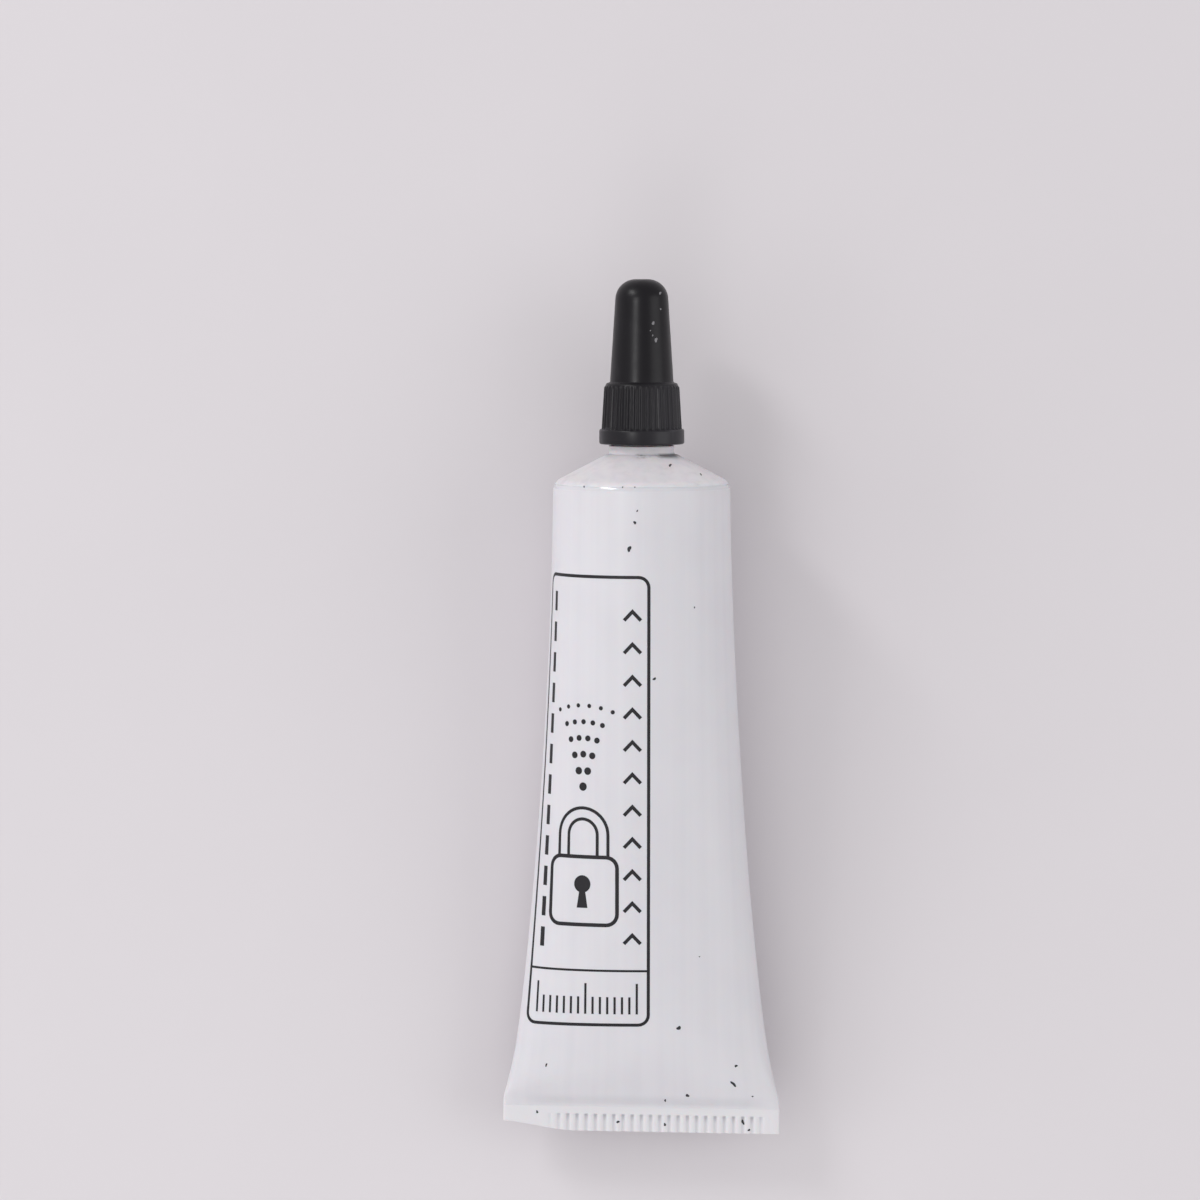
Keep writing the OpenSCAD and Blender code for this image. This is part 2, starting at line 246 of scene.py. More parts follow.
class PrintSizes(PropertyGroup):
    """Sizes of the printed panel. Arcs are counted from the middle of the tube's front."""

    left: length("Left", "Arc from the middle of the front to the panel's left line", 13.0)
    right: length("Right", "Arc from the middle of the front to the panel's right line", 0.7)
    foot: length("Foot", "Place of the panel's lower line above the sealed edge", 12.6)
    head: length("Head", "Place of the panel's upper line above the sealed edge", 61.2)
    corner: length("Corner", "Radius of the panel's corners", 1.1)
    line: length("Line", "Width of the panel's lines", 0.34)
    fine_line: length("Fine line", "Width of the fine lines", 0.24)
    proud: length("Proud", "How far the ink stands above the sleeve", 0.016)
    sunk: length("Sunk", "How far the ink is sunk into the sleeve", 0.03)
    cell: length("Cell", "Height of the cell with the scale at the panel's foot", 6.0)
    lock_middle: length("Padlock", "Arc from the panel's left line to the padlock's middle", 6.4)
    lock_rise: length("Padlock rise", "Height of the padlock's foot above the cell", 5.0)
    lock_height: length("Padlock height", "Height of the padlock's body", 7.4)
    puff_rise: length("Puff rise", "Height of the puff's start above the padlock's body", 6.6)
    chevron_inset: length("Chevron inset", "Arc from the chevrons' points to the panel's right line", 1.75)
    chevron_rise: length("Chevron rise", "Height of the first chevron above the cell", 3.0)
    dash_inset: length("Dash inset", "Arc from the panel's left line to the rule of dashes", 1.5)
    dash_rise: length("Dash rise", "Height of the first dash above the cell", 2.4)


class Finishes(PropertyGroup):
    """Colours of the finishes."""

    sleeve: colour("Sleeve", "White satin plastic of the sleeve", 214, 212, 217)
    sleeve_shade: colour("Sleeve bands", "Faint bands and clouds in the sleeve", 207, 205, 211)
    # Partly painted light: paler than the sleeve where the welded bands lie flat
    pressed: colour("Welded bands", "Welded bands, pressed smooth and a little paler", 217, 215, 219)
    # Painted shade for the grooves of the serrations and the crease above the welded bands
    crease_and_groove_shade: colour("Grooves", "Soiled grooves between the serrations", 184, 182, 188)
    head: colour("Head", "Warmer, clearer plastic of the shoulder", 226, 222, 226)
    cap: colour("Cap", "Black plastic of the cap", 14, 13, 17)
    # Worn places on the cap, and painted sheen on the skirt's right side and the bead
    cap_wear_and_sheen: colour("Cap wear", "Rubbed places on the cap", 58, 57, 62)
    ink: colour("Ink", "Ink of the printed panel", 26, 25, 29)
    graphite: colour("Graphite", "Graphite powder and its smudges", 42, 42, 46)
    dust: colour("Dust", "Pale dust on the cap", 148, 146, 150)
    disc: colour("Disc", "Soft disc in the cap", 226, 222, 214)
    floor: colour("Floor", "Plain floor under the tube", 216, 211, 215)
    backdrop: colour("Backdrop", "Even tone that the floor fades into far from the tube", 209, 204, 208)


class StageSizes(PropertyGroup):
    """Camera and lamps."""

    camera_height: length("Camera height", "Height of the camera above the floor", 600)
    view_width: length("View width", "Width of the view at the tube's axis", 129.4)
    view_left: length("View left", "How far the view's middle lies left of the tube's", 4.5)
    view_up: length("View up", "How far the view's middle lies towards the cap", 11.75)
    key: power("Key", "Large soft lamp at the left", 0.8)
    fill: power("Fill", "Large weak lamp at the right", 0.7)
    front: power("Front", "Large weak lamp beyond the foot", 0.7)
    strip: power("Strip", "Narrow lamp that draws a highlight along the cap", 0.4)
    glint: power("Glint", "Lamp beyond the cap that lights the shoulder and glints on the lip", 1.1)
    surround: amount("Surround", "Strength of the light from all round", 0.615)


class TubeSettings(PropertyGroup):
    """Everything that a user would change."""

    sleeve: PointerProperty(type=SleeveSizes)
    head: PointerProperty(type=HeadSizes)
    cap: PointerProperty(type=CapSizes)
    printing: PointerProperty(type=PrintSizes)
    finishes: PointerProperty(type=Finishes)
    stage: PointerProperty(type=StageSizes)


# Shader maths

class Wire:
    """A socket that Python's arithmetic works on: each operator or method adds one Math node."""

    def __init__(self, nodes, socket):
        self.nodes = nodes
        self.socket = socket

    def math(self, operation, *inputs):
        return self.nodes.node("ShaderNodeMath", {"operation": operation}, dict(enumerate(inputs)))

    def __add__(self, other):
        return self.math("ADD", self, other)

    def __radd__(self, other):
        return self.math("ADD", other, self)

    def __sub__(self, other):
        return self.math("SUBTRACT", self, other)

    def __rsub__(self, other):
        return self.math("SUBTRACT", other, self)

    def __mul__(self, other):
        return self.math("MULTIPLY", self, other)

    def sine(self):
        return self.math("SINE", self)

    def cosine(self):
        return self.math("COSINE", self)


class Nodes:
    """The nodes of a material or a world under way, added one call at a time."""

    def __init__(self, tree):
        self.tree = tree

    def node(self, kind, settings=None, sockets=None, output=0):
        """Adds a node of that kind, sets its settings first, then its sockets' values or links."""
        made = self.tree.nodes.new(kind)
        for key, value in (settings or {}).items():
            setattr(made, key, value)
        for key, value in (sockets or {}).items():
            self.join(made.inputs[key], value)
        return Wire(self, made.outputs[output])

    def join(self, socket, value):
        """Links a wire to a socket, or sets the socket to a plain value."""
        if isinstance(value, Wire):
            self.tree.links.new(value.socket, socket)
        else:
            socket.default_value = value

    def backed(self, share, shader, backdrop, output):
        """Shows a backdrop's even glow in a shader's place, by a share, to rays that come from the camera, by
        mirroring or through glass. All other light still comes from the shader."""
        kinds = ("Is Camera Ray", "Is Glossy Ray", "Is Transmission Ray")
        camera, mirrored, through = (self.node("ShaderNodeLightPath", output=kind) for kind in kinds)
        whole = self.node("ShaderNodeMixShader", {}, {
            0: (camera + mirrored + through) * share, 1: Wire(self, shader.outputs[0]), 2: backdrop})
        self.join(self.tree.nodes[output].inputs["Surface"], whole)


class Finish(Nodes):
    """A material under way, with a Principled shader."""

    def __init__(self, name, **uniform):
        self.material = bpy.data.materials.new(name)
        self.material.use_nodes = True
        super().__init__(self.material.node_tree)
        self.shader = self.tree.nodes["Principled BSDF"]
        self.feed(**uniform)

    def feed(self, **sockets):
        """Joins wires to the shader's own sockets, or sets those sockets to plain values."""
        for name, value in sockets.items():
            label = name.replace("_", " ").title().replace("Ior", "IOR")
            self.join(self.shader.inputs[label], value)

    def place(self):
        """The point on the piece, in metres."""
        return self.node("ShaderNodeTexCoord", output="Object")

    def across(self, place):
        """How far a point lies to the right of the tube's axis, in metres."""
        return self.node("ShaderNodeSeparateXYZ", {}, {0: place}, output="X")

    def surface(self):
        """The point on the piece's own UV map."""
        return self.node("ShaderNodeTexCoord", output="UV")

    def vector(self, operation, *inputs, output=0):
        """One step of vector maths."""
        return self.node("ShaderNodeVectorMath", {"operation": operation}, dict(enumerate(inputs)), output)

    def stretched(self, place, x, y, z):
        """A place with each of its parts multiplied."""
        return self.vector("MULTIPLY", place, (x, y, z))

    def noise(self, vector, scale, detail=2.0, roughness=0.5):
        """Smooth noise from 0 to 1."""
        return self.node("ShaderNodeTexNoise", {}, {
            "Vector": vector, "Scale": scale, "Detail": detail, "Roughness": roughness})

    def rise(self, value, low, high):
        """0 below low, 1 above high and a smooth step between them. It falls where low is the larger."""
        return self.node("ShaderNodeMapRange", {"interpolation_type": "SMOOTHSTEP"}, {
            "Value": value, "From Min": low, "From Max": high})

    def between(self, value, begin, end):
        """1 between begin and end, and 0 beyond. Each is two places: where it is 0, and where it is 1."""
        return self.rise(value, *begin) * self.rise(value, *end)

    def mix(self, share, first, second):
        """One colour turning into another as the share goes from 0 to 1."""
        return self.node("ShaderNodeMix", {"data_type": "RGBA"}, {
            "Factor": share, 6: as_colour(first), 7: as_colour(second)}, output=2)

    def bump(self, height, distance):
        """A normal bent by a height from 0 to 1 that stands for that distance in metres."""
        return self.node("ShaderNodeBump", {}, {"Height": height, "Distance": distance})

    def from_axis(self):
        """Place along the tube's axis from the foot of the neck, and distance from the axis."""
        offset = self.vector("SUBTRACT", self.place(), tuple(NECK_FOOT))
        along = self.vector("DOT_PRODUCT", offset, tuple(AXIS), output="Value")
        beside = self.vector("CROSS_PRODUCT", offset, tuple(AXIS))
        return along, self.vector("LENGTH", beside, output="Value")


def as_colour(value):
    """A wire as it is, or a colour property's three numbers with an alpha of 1."""
    return value if isinstance(value, Wire) else (*value, 1.0)


def sleeve_finish(colours, sizes):
    """White satin plastic: faint bands along the tube from its extrusion, soft clouds, a fine skin and a
    glossy lip where the rim was melted onto the shoulder. The welded bands are paler, partly their own
    pressed tone and partly painted light on their flat faces. Painted shade darkens the crease above them in
    its middle, and the grooves of the serrations, most at their upper ends."""
    finish = Finish("sleeve_plastic", ior=1.5, subsurface_weight=0.12, subsurface_scale=0.6 * MM)
    place = finish.place()
    across = finish.across(place)
    along, _ = finish.from_axis()
    bands = finish.noise(finish.stretched(finish.surface(), 46.0, 0.7, 1.0), scale=1.0, detail=3.0)
    clouds = finish.noise(place, scale=120.0, detail=3.0)
    skin = finish.noise(place, scale=2600.0)
    lip = finish.rise(along, RIM + 0.5 * MM, RIM + 0.8 * MM)

    above = along - SEALED_EDGE - (SEAL_HALF_WIDTH - across) * math.tan(sizes.foot_slant)
    ridge_top = sizes.ridge_band
    weld_top = ridge_top + sizes.plain_band
    # Painted shade: the grooves of the serrations are darkened, most at their upper ends, and so is the
    # middle of the crease above the welded bands
    serrated = finish.between(across, SERRATIONS_BEGIN, SERRATIONS_END)
    serrated = serrated * finish.rise(above, ridge_top + 0.05 * MM, ridge_top - 0.15 * MM)
    in_groove = finish.rise((across * (2 * math.pi / sizes.ridge_pitch)).cosine(), 0.0, 0.9)
    upper = finish.rise(above, ridge_top - 1.0 * MM, ridge_top - 0.2 * MM)
    crease_begin = (weld_top, weld_top + 0.45 * MM)
    crease_end = (weld_top + 1.6 * MM, weld_top + 0.65 * MM)
    crease = finish.between(above, crease_begin, crease_end)
    crease = crease * finish.between(across, CREASE_BEGIN, CREASE_END)
    painted_shade = serrated * in_groove * (0.4 + upper * 0.6) + crease * (0.16 + clouds * 0.36)

    shade = finish.rise(bands * 0.5 + clouds * 0.5, 0.3, 0.8)
    # Partly painted light: the welded bands are mixed towards a paler colour where they lie flat
    welded = finish.rise(above, weld_top + 0.15 * MM, weld_top - 0.2 * MM)
    plain = finish.mix(shade, colours.sleeve, colours.sleeve_shade)
    clean = finish.mix(welded, plain, colours.pressed)
    finish.feed(base_color=finish.mix(painted_shade, clean, colours.crease_and_groove_shade),
                roughness=0.36 + clouds * 0.1 + bands * 0.06 - lip * 0.3,
                normal=finish.bump(bands * 0.5 + skin * 0.5, 0.006 * MM))
    return finish.material


def head_finish(colours, head):
    """Warmer, clearer plastic with fine turning rings, and graphite smudged round the neck's foot. The smudge
    is weighted to the neck's right by painted shadow, where the cap's shadow falls."""
    finish = Finish("head_plastic", ior=1.5, subsurface_weight=0.25, subsurface_scale=0.9 * MM)
    place = finish.place()
    along, away = finish.from_axis()
    ring_pitch = 0.35 * MM
    land = head.neck / 2 + head.land
    grain = finish.noise(place, scale=900.0, detail=4.0)
    blots = finish.noise(place, scale=420.0, detail=3.0, roughness=0.6)
    rings = (away * (2 * math.pi / ring_pitch)).sine()
    right = finish.rise(finish.across(place), -1.5 * MM, 2.5 * MM)
    near_neck = finish.rise(away, land + 0.8 * MM, land - 0.2 * MM)
    near_neck = near_neck * finish.rise(along, 0.35 * MM, -0.05 * MM)
    # Graphite smudge with painted shadow: the right weighting darkens the side where the cap's shadow falls
    smudge_and_shadow = near_neck * finish.rise(blots + right * 0.16, 0.5, 0.66)
    # The film's second term darkens the stop ring, the neck and the nozzle evenly, from just above the land
    film = finish.rise(blots + grain * 0.3, 0.72, 0.95) * 0.1 + finish.rise(along, 0.0, 0.2 * MM) * 0.1
    clean = finish.mix(finish.rise(grain, 0.3, 0.8) * 0.4, colours.head, colours.sleeve_shade)
    finish.feed(base_color=finish.mix(smudge_and_shadow * 0.85 + film, clean, colours.graphite),
                roughness=0.4 + grain * 0.12 - smudge_and_shadow * 0.08,
                normal=finish.bump(grain * 0.8 + rings * 0.1, 0.012 * MM))
    return finish.material


def cap_finish(colours, cap, head):
    """Black moulded plastic: semi-gloss, with fine drawn scratches, rubbed high places and scuffs on the
    bead's edge. The skirt is worn a little paler, with painted sheen that makes it paler still on its right,
    and the bead has a painted sheen as well."""
    finish = Finish("cap_plastic", ior=1.33)
    place = finish.place()
    along, _ = finish.from_axis()
    bead_top = CAP_FOOT + cap.bead_height
    skirt_top = head.neck_height + cap.roof_gap + cap.roof
    drawn = finish.noise(finish.stretched(place, 2600.0, 160.0, 2600.0), scale=1.0, detail=3.0)
    grain = finish.noise(place, scale=1800.0, detail=3.0)
    patches = finish.noise(place, scale=260.0, detail=3.0, roughness=0.6)
    rubbed = finish.rise(patches, 0.5, 0.75) * finish.rise(drawn, 0.42, 0.62)
    low = finish.rise(along, skirt_top + 0.85 * MM, skirt_top - 0.75 * MM)
    edge_begin = (bead_top - 0.3 * MM, bead_top)
    edge_end = (bead_top + 0.35 * MM, bead_top + 0.05 * MM)
    scuffs = finish.between(along, edge_begin, edge_end) * finish.rise(patches, 0.5, 0.62)
    # Painted sheen: the bead, and the skirt most on its right, are mixed towards a paler colour, on top of a
    # little wear low on the skirt
    bead = finish.rise(along, bead_top + 0.1 * MM, bead_top - 0.1 * MM)
    right = finish.rise(finish.across(place), -1.0 * MM, 3.0 * MM)
    handled_and_sheen = low * (0.06 + right * 0.3) + bead * 0.14
    wear = rubbed * (0.2 + low * 0.3) + handled_and_sheen + scuffs * 0.6
    finish.feed(base_color=finish.mix(wear, colours.cap, colours.cap_wear_and_sheen),
                roughness=0.24 + grain * 0.1 + patches * 0.12,
                normal=finish.bump(grain * 0.7 + drawn * 0.3, 0.006 * MM))
    return finish.material


def ink_finish(colours):
    """Flat black ink with a thin, uneven film."""
    finish = Finish("panel_ink", ior=1.45)
    film = finish.noise(finish.place(), scale=2400.0, detail=3.0)
    thin = finish.rise(film, 0.55, 0.8) * 0.25
    finish.feed(base_color=finish.mix(thin, colours.ink, colours.graphite), roughness=0.42 + film * 0.16)
    return finish.material


def graphite_finish(colours):
    """Dark grey powder with a dull metal sheen and brighter flakes."""
    finish = Finish("graphite", ior=1.5)
    place = finish.place()
    flakes = finish.noise(place, scale=3800.0)
    heaps = finish.noise(place, scale=700.0, detail=4.0)
    bright = finish.rise(flakes, 0.56, 0.7)
    pale = tuple(2.2 * value for value in colours.graphite)
    finish.feed(base_color=finish.mix(bright, colours.graphite, pale),
                metallic=bright * 0.6,
                roughness=0.62 - bright * 0.25,
                normal=finish.bump(heaps * 0.6 + flakes * 0.4, 0.06 * MM))
    return finish.material


def dust_finish(colours):
    """Pale dust, dull and mottled."""
    finish = Finish("pale_dust", ior=1.45)
    grain = finish.noise(finish.place(), scale=5000.0)
    finish.feed(base_color=finish.mix(grain * 0.5, colours.dust, colours.graphite),
                roughness=0.75 + grain * 0.1)
    return finish.material


def disc_finish(colours):
    """Soft closed foam: fine cells, a little soiled where the nozzle closes on it."""
    finish = Finish("liner_disc", ior=1.45)
    place = finish.place()
    cells = finish.noise(place, scale=4200.0)
    soiled = finish.rise(finish.noise(place, scale=900.0), 0.5, 0.8) * 0.5
    finish.feed(base_color=finish.mix(soiled, colours.disc, colours.graphite),
                roughness=0.75 + cells * 0.15,
                normal=finish.bump(cells, 0.03 * MM))
    return finish.material


def floor_finish(colours):
    """Plain pale floor with the faintest mottling, which fades into the backdrop's even tone far from the
    tube, so that no lamp's pool of light and no far edge shows."""
    finish = Finish("plain_floor", ior=1.45)
    place = finish.place()
    mottle = finish.noise(place, scale=35.0, detail=4.0)
    deeper = tuple(0.97 * value for value in colours.floor)
    finish.feed(base_color=finish.mix(mottle, colours.floor, deeper), roughness=0.7 + mottle * 0.1)
    away = finish.vector("LENGTH", place, output="Value")
    even = finish.node("ShaderNodeEmission", {}, {"Color": as_colour(colours.backdrop)})
    finish.backed(finish.rise(away, FLOOR_LIT, FLOOR_EVEN), finish.shader, even, "Material Output")
    return finish.material


# Grids

def put(across, up, along):
    """Points of the scene from their places across, up and along the tube."""
    return np.stack(np.broadcast_arrays(across, up, along), axis=-1) @ DIRECTIONS + NECK_FOOT


def step(value, low, high):
    """0 below low, 1 above high and a smooth step between them. It falls where low is the larger."""
    share = np.clip((value - low) / (high - low), 0, 1)
    return share * share * (3 - 2 * share)


def between(value, begin, end):
    """1 between begin and end, and 0 beyond. Each is two places: where it is 0, and where it is 1."""
    return step(value, *begin) * step(value, *end)


def ground(along):
    """How far below the axis the floor lies, as a place up the tube, so a negative number."""
    return -(NECK_FOOT[2] + along * AXIS[2]) / UP[2]


def grid_quads(rows, columns, ring):
    """Corner numbers of a grid's quads. Its columns close round, and its rows do too in a ring."""
    row = np.arange(rows if ring else rows - 1)[:, None]
    column = np.arange(columns)[None, :]
    after = (row + 1) % rows
    beside = (column + 1) % columns
    corners = [row * columns + column, row * columns + beside,
               after * columns + beside, after * columns + column]
    return np.stack(np.broadcast_arrays(*corners), axis=-1).reshape(-1, 4)


def volume(points, quads):
    """Signed volume inside a closed skin: a sixth of the sum of its triangles' triple products."""
    a, b, c, d = points[quads].transpose(1, 0, 2)
    return (np.einsum("ij,ij->", a, np.cross(b, c)) + np.einsum("ij,ij->", a, np.cross(c, d))) / 6


def grid_uv(rows, columns, ring):
    """Corner by corner, the share of the way round a grid's columns and up its rows."""
    row = np.arange(rows if ring else rows - 1)[:, None]
    column = np.arange(columns)[None, :]
    corners = [(column, row), (column + 1, row), (column + 1, row + 1), (column, row + 1)]
    pairs = [np.stack(np.broadcast_arrays(u / columns, v / (rows - 1)), axis=-1) for u, v in corners]
    return np.stack(pairs, axis=2).reshape(-1, 4, 2)


def make_piece(name, grids, material, body, nodes=(), crease=40):
    """One piece from closed grids of points, each with its rows closed in a ring or not.

    The quads are turned so that each skin's volume is positive, which faces them outwards, and points
    that fall together at poles and flattened rows are merged. Edges bent by more than the crease, in
    degrees, stay sharp. The piece then rides on its body.
    """
    points, quads, uv = [], [], []
    start = 0
    for grid, ring in grids:
        rows, columns = grid.shape[:2]
        own = grid.reshape(-1, 3)
        faces = grid_quads(rows, columns, ring)
        corners = grid_uv(rows, columns, ring)
        if volume(own - own.mean(axis=0), faces) < 0:
            faces = faces[:, ::-1]
            corners = corners[:, ::-1]
        points.append(own)
        quads.append(faces + start)
        uv.append(corners)
        start += len(own)
    points, quads, uv = (np.concatenate(part) for part in (points, quads, uv))

    mesh = bpy.data.meshes.new(name)
    mesh.vertices.add(len(points))
    mesh.vertices.foreach_set("co", points.ravel())
    mesh.loops.add(quads.size)
    mesh.loops.foreach_set("vertex_index", quads.ravel())
    mesh.polygons.add(len(quads))
    mesh.polygons.foreach_set("loop_start", np.arange(0, quads.size, 4))
    mesh.update(calc_edges=True)
    mesh.uv_layers.new(name="surface").data.foreach_set("uv", uv.ravel())
    merged = bmesh.new()
    merged.from_mesh(mesh)
    bmesh.ops.remove_doubles(merged, verts=merged.verts, dist=MERGE_DISTANCE)
    merged.to_mesh(mesh)
    merged.free()
    mesh.polygons.foreach_set("use_smooth", np.ones(len(mesh.polygons), bool))
    mesh.set_sharp_from_angle(angle=math.radians(crease))
    mesh.materials.append(material)

    piece = bpy.data.objects.new(name, mesh)
    bpy.context.scene.collection.objects.link(piece)
    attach(piece, body)
    if nodes:
        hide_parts(*nodes)


# Profiles: places from the axis and along it, as arrays of pairs

def line(start, end, count):
    """Even points on a straight line, without its last."""
    return np.linspace(start, end, count, endpoint=False)


def arc(centre, radius, start, end, count):
    """Even points on an arc about a centre, between two angles in radians."""
    turn = np.linspace(start, end, count)
    return np.array(centre) + radius * np.stack([np.cos(turn), np.sin(turn)], axis=-1)


def revolve(profile, columns, change=None):
    """A profile of pairs turned about the axis, with an optional change of radius at each point.

    A point at angle q and radius r lies r cos q across and -r sin q up, so that a right-hand thread
    climbs as q grows. The change is a function of angle, place along and radius.
    """
    turn = 2 * math.pi * np.arange(columns)[None, :] / columns
    radius, along = profile[:, 0, None], profile[:, 1, None]
    if change is not None:
        radius = radius + change(turn, along, radius)
    return put(radius * np.cos(turn), -radius * np.sin(turn), along)


def thread(turn, along, start, turns, head):
    """Height of a screw thread from 0 to 1 at an angle and a place along.

    The ridge's middle climbs by the lead in each turn from its start. Across it the height is 1 on the
    crest and falls to 0 down each flank, and it fades in and out over the first and last eighth turn.
    """
    height = 0.0
    fade = 1 / 8
    for whole in range(math.ceil(turns) + 1):
        gone = turn / (2 * math.pi) + whole
        beside = np.abs(along - start - head.thread_lead * gone)
        section = step(beside, head.thread_crest / 2 + head.thread_flank, head.thread_crest / 2)
        ends = step(np.minimum(gone, turns - gone), 0.0, fade)
        height = np.maximum(height, section * ends)
    return height


def thread_start(head):
    """Place along the axis where the neck's thread starts, just inside the closed cap's foot."""
    return CAP_FOOT + head.thread_crest / 2 + head.thread_flank


# Sleeve

def half_depth(sizes, taper):
    """Half the sleeve's depth at taper, 0 at the rim and 1 at the seal.

    It is the wall, and a swell of (1 - taper squared) to a power, less a sine that draws in the sides.
    The swell fades out close to the seal, as 1 less an exponential of a power of the distance from it, and
    a fine bead of the weld stands there, the product of a rising and a falling exponential.
    """
    bead_rise, bead_fall = 0.12 * MM, 0.9 * MM
    crease_power = 1.2
    swell = (RIM_RADIUS - sizes.wall) * (1 - taper**2) ** sizes.taper_power
    swell = swell - sizes.side_draw * np.sin(math.pi * taper)
    off_seal = (1 - taper) * taper_length(sizes)
    bead = sizes.weld * (1 - np.exp(-off_seal / bead_rise)) * np.exp(-off_seal / bead_fall)
    return sizes.wall + swell * (1 - np.exp(-((off_seal / sizes.crease) ** crease_power))) + bead


def half_width(depth):
    """Half the width that keeps the round rim's girth: width and depth, each to a power, add up."""
    girth = math.log(2) / math.log(math.pi / 2)
    return (SEAL_HALF_WIDTH**girth - np.minimum(depth, RIM_RADIUS) ** girth) ** (1 / girth)


def taper_length(sizes):
    """Length of the sleeve from its rim to the welded bands."""
    return RIM - SEALED_EDGE - sizes.ridge_band - sizes.plain_band


def squareness(sizes, depth):
    """Power of a section's oval: 2 where it is round, and 12 where it is welded flat."""
    round_power, flat_power, onset = 2, 12, 8
    flat = 1 - (depth - sizes.wall) / (RIM_RADIUS - sizes.wall)
    return round_power + (flat_power - round_power) * np.clip(flat, 0, 1) ** onset


def section_points(width, depth, square, shares):
    """Points on quarter sections, from the middle of the front to the side, at shares of their arc.

    A section is |across / width| and |up / depth|, each to the power square, adding up to 1. Its length
    is summed in fine steps, and each share is looked up in that sum, one section after another.
    """
    turn = np.linspace(0, math.pi / 2, FINE_STEPS)
    across = width[:, None] * np.sin(turn) ** (2 / square[:, None])
    up = depth[:, None] * np.sin(turn[::-1]) ** (2 / square[:, None])
    steps = np.hypot(np.diff(across, axis=1), np.diff(up, axis=1))
    run = np.concatenate([np.zeros((len(width), 1)), np.cumsum(steps, axis=1)], axis=1)
    order = 2.0 * np.arange(len(width))[:, None]
    knots = (run / run[:, -1:] + order).ravel()
    wanted = np.broadcast_to(shares, (len(width), shares.shape[-1])) + order
    return np.interp(wanted, knots, across.ravel()), np.interp(wanted, knots, up.ravel())


def sleeve_rows(sizes, head):
    """Half width, half depth and place along of each row of the sleeve's skin, and whether it is outside.

    The rows run from the cut edge up the welded bands and the body to the rim, round the lip on the
    shoulder's edge and back down the inside to where the walls meet. They crowd towards the seal.
    """
    body_crowding, inner_crowding, inner_end = 2.2, 0.7, 0.998
    seal_stretch = (0.97, 1.0)
    round_off = np.linspace(0, math.pi / 2, CUT_ROWS)
    cut_depth = np.append((0.0, sizes.cut_line), sizes.wall - sizes.cut_round * (1 - np.sin(round_off)))
    cut_along = np.append((sizes.cut_line, 0.0), sizes.cut_round * (1 - np.cos(round_off)))
    bands = sizes.ridge_band + sizes.plain_band
    band_along = np.linspace(sizes.cut_round, bands, BAND_ROWS + 2)[1:-1]
    taper = 1 - np.linspace(0, 1, BODY_ROWS) ** body_crowding
    wrap = np.linspace(0, sizes.lip_wrap, LIP_ROWS)
    hollow = np.linspace(0, inner_end, INNER_ROWS) ** inner_crowding

    depth = half_depth(sizes, taper)
    width = half_width(depth)
    width = width + (SEAL_HALF_WIDTH - width) * step(taper, *seal_stretch)
    edge = RIM_RADIUS - head.edge_round * (1 - np.cos(wrap))
    under = RIM_RADIUS - head.edge_round + (head.edge_round - sizes.lip) * np.cos(wrap[::-1])
    inner_depth = half_depth(sizes, hollow) - sizes.wall
    inner_width = half_width(half_depth(sizes, hollow)) - sizes.wall

    lip_foot = RIM + head.edge_height
    outer = [
        (SEAL_HALF_WIDTH - (sizes.wall - np.maximum(cut_depth, sizes.wall - sizes.cut_round)),
         cut_depth, SEALED_EDGE + cut_along),
        (np.full(BAND_ROWS, SEAL_HALF_WIDTH), np.full(BAND_ROWS, sizes.wall), SEALED_EDGE + band_along),
        (width, depth, RIM - taper_length(sizes) * taper),
        (edge, edge, lip_foot + head.edge_round * np.sin(wrap)),
    ]
    inner = [
        (under, under, lip_foot + (head.edge_round - sizes.lip) * np.sin(wrap[::-1])),
        (inner_width, inner_depth, RIM - taper_length(sizes) * hollow),
        (inner_width[-1:], np.zeros(1), RIM - taper_length(sizes) * hollow[-1:]),
    ]
    width, depth, along = (np.concatenate(part) for part in zip(*outer, *inner))
    outside = np.arange(len(along)) < sum(len(part[0]) for part in outer)
    return width, depth, along, outside


def inward(sizes, turn, taper, across, up):
    """Share of their distance from the axis that points keep where soft waves press the skin in.

    The waves are a sum of sines of the angle round the skin and of taper, and die out at rim and seal.
    """
    end_power, still = 0.7, (0.997, 0.98)
    wave = sum(np.sin(turns * turn + run * taper + start) for turns, run, start in WAVES)
    wave = 0.5 + wave / (2 * len(WAVES))
    pressed = sizes.waves * wave * np.sin(math.pi * taper) ** end_power * step(taper, *still)
    return 1 - pressed / np.maximum(np.hypot(across, up), sizes.wall)


def foot_lean(sizes, across, above):
    """How far up the tube the slant moves the skin: fully on the welded bands, and less up the body."""
    bands = sizes.ridge_band + sizes.plain_band
    straight = 4 * bands
    return (SEAL_HALF_WIDTH - across) * math.tan(sizes.foot_slant) * step(above, straight, bands)


def grooves(sizes, across, above):
    """Depth of the grooves in the serrated band at places across and above the unslanted edge.

    It is a cosine across the foot, to a power, that fades out towards both ends. It begins sharply at
    the band's top and falls off to the edge by an exponential.
    """
    tooth_power, shallow, run_out = 1.5, 0.45, 0.7 * MM
    top = (-0.02 * MM, 0.22 * MM)
    teeth = (0.5 + 0.5 * np.cos(2 * math.pi * across / sizes.ridge_pitch)) ** tooth_power
    fade = between(across, SERRATIONS_BEGIN, SERRATIONS_END)
    down = sizes.ridge_band - above
    run = step(down, *top)
    run = run * (shallow + (1 - shallow) * np.exp(-np.maximum(down, 0) / run_out))
    return sizes.groove_depth * teeth * fade * run


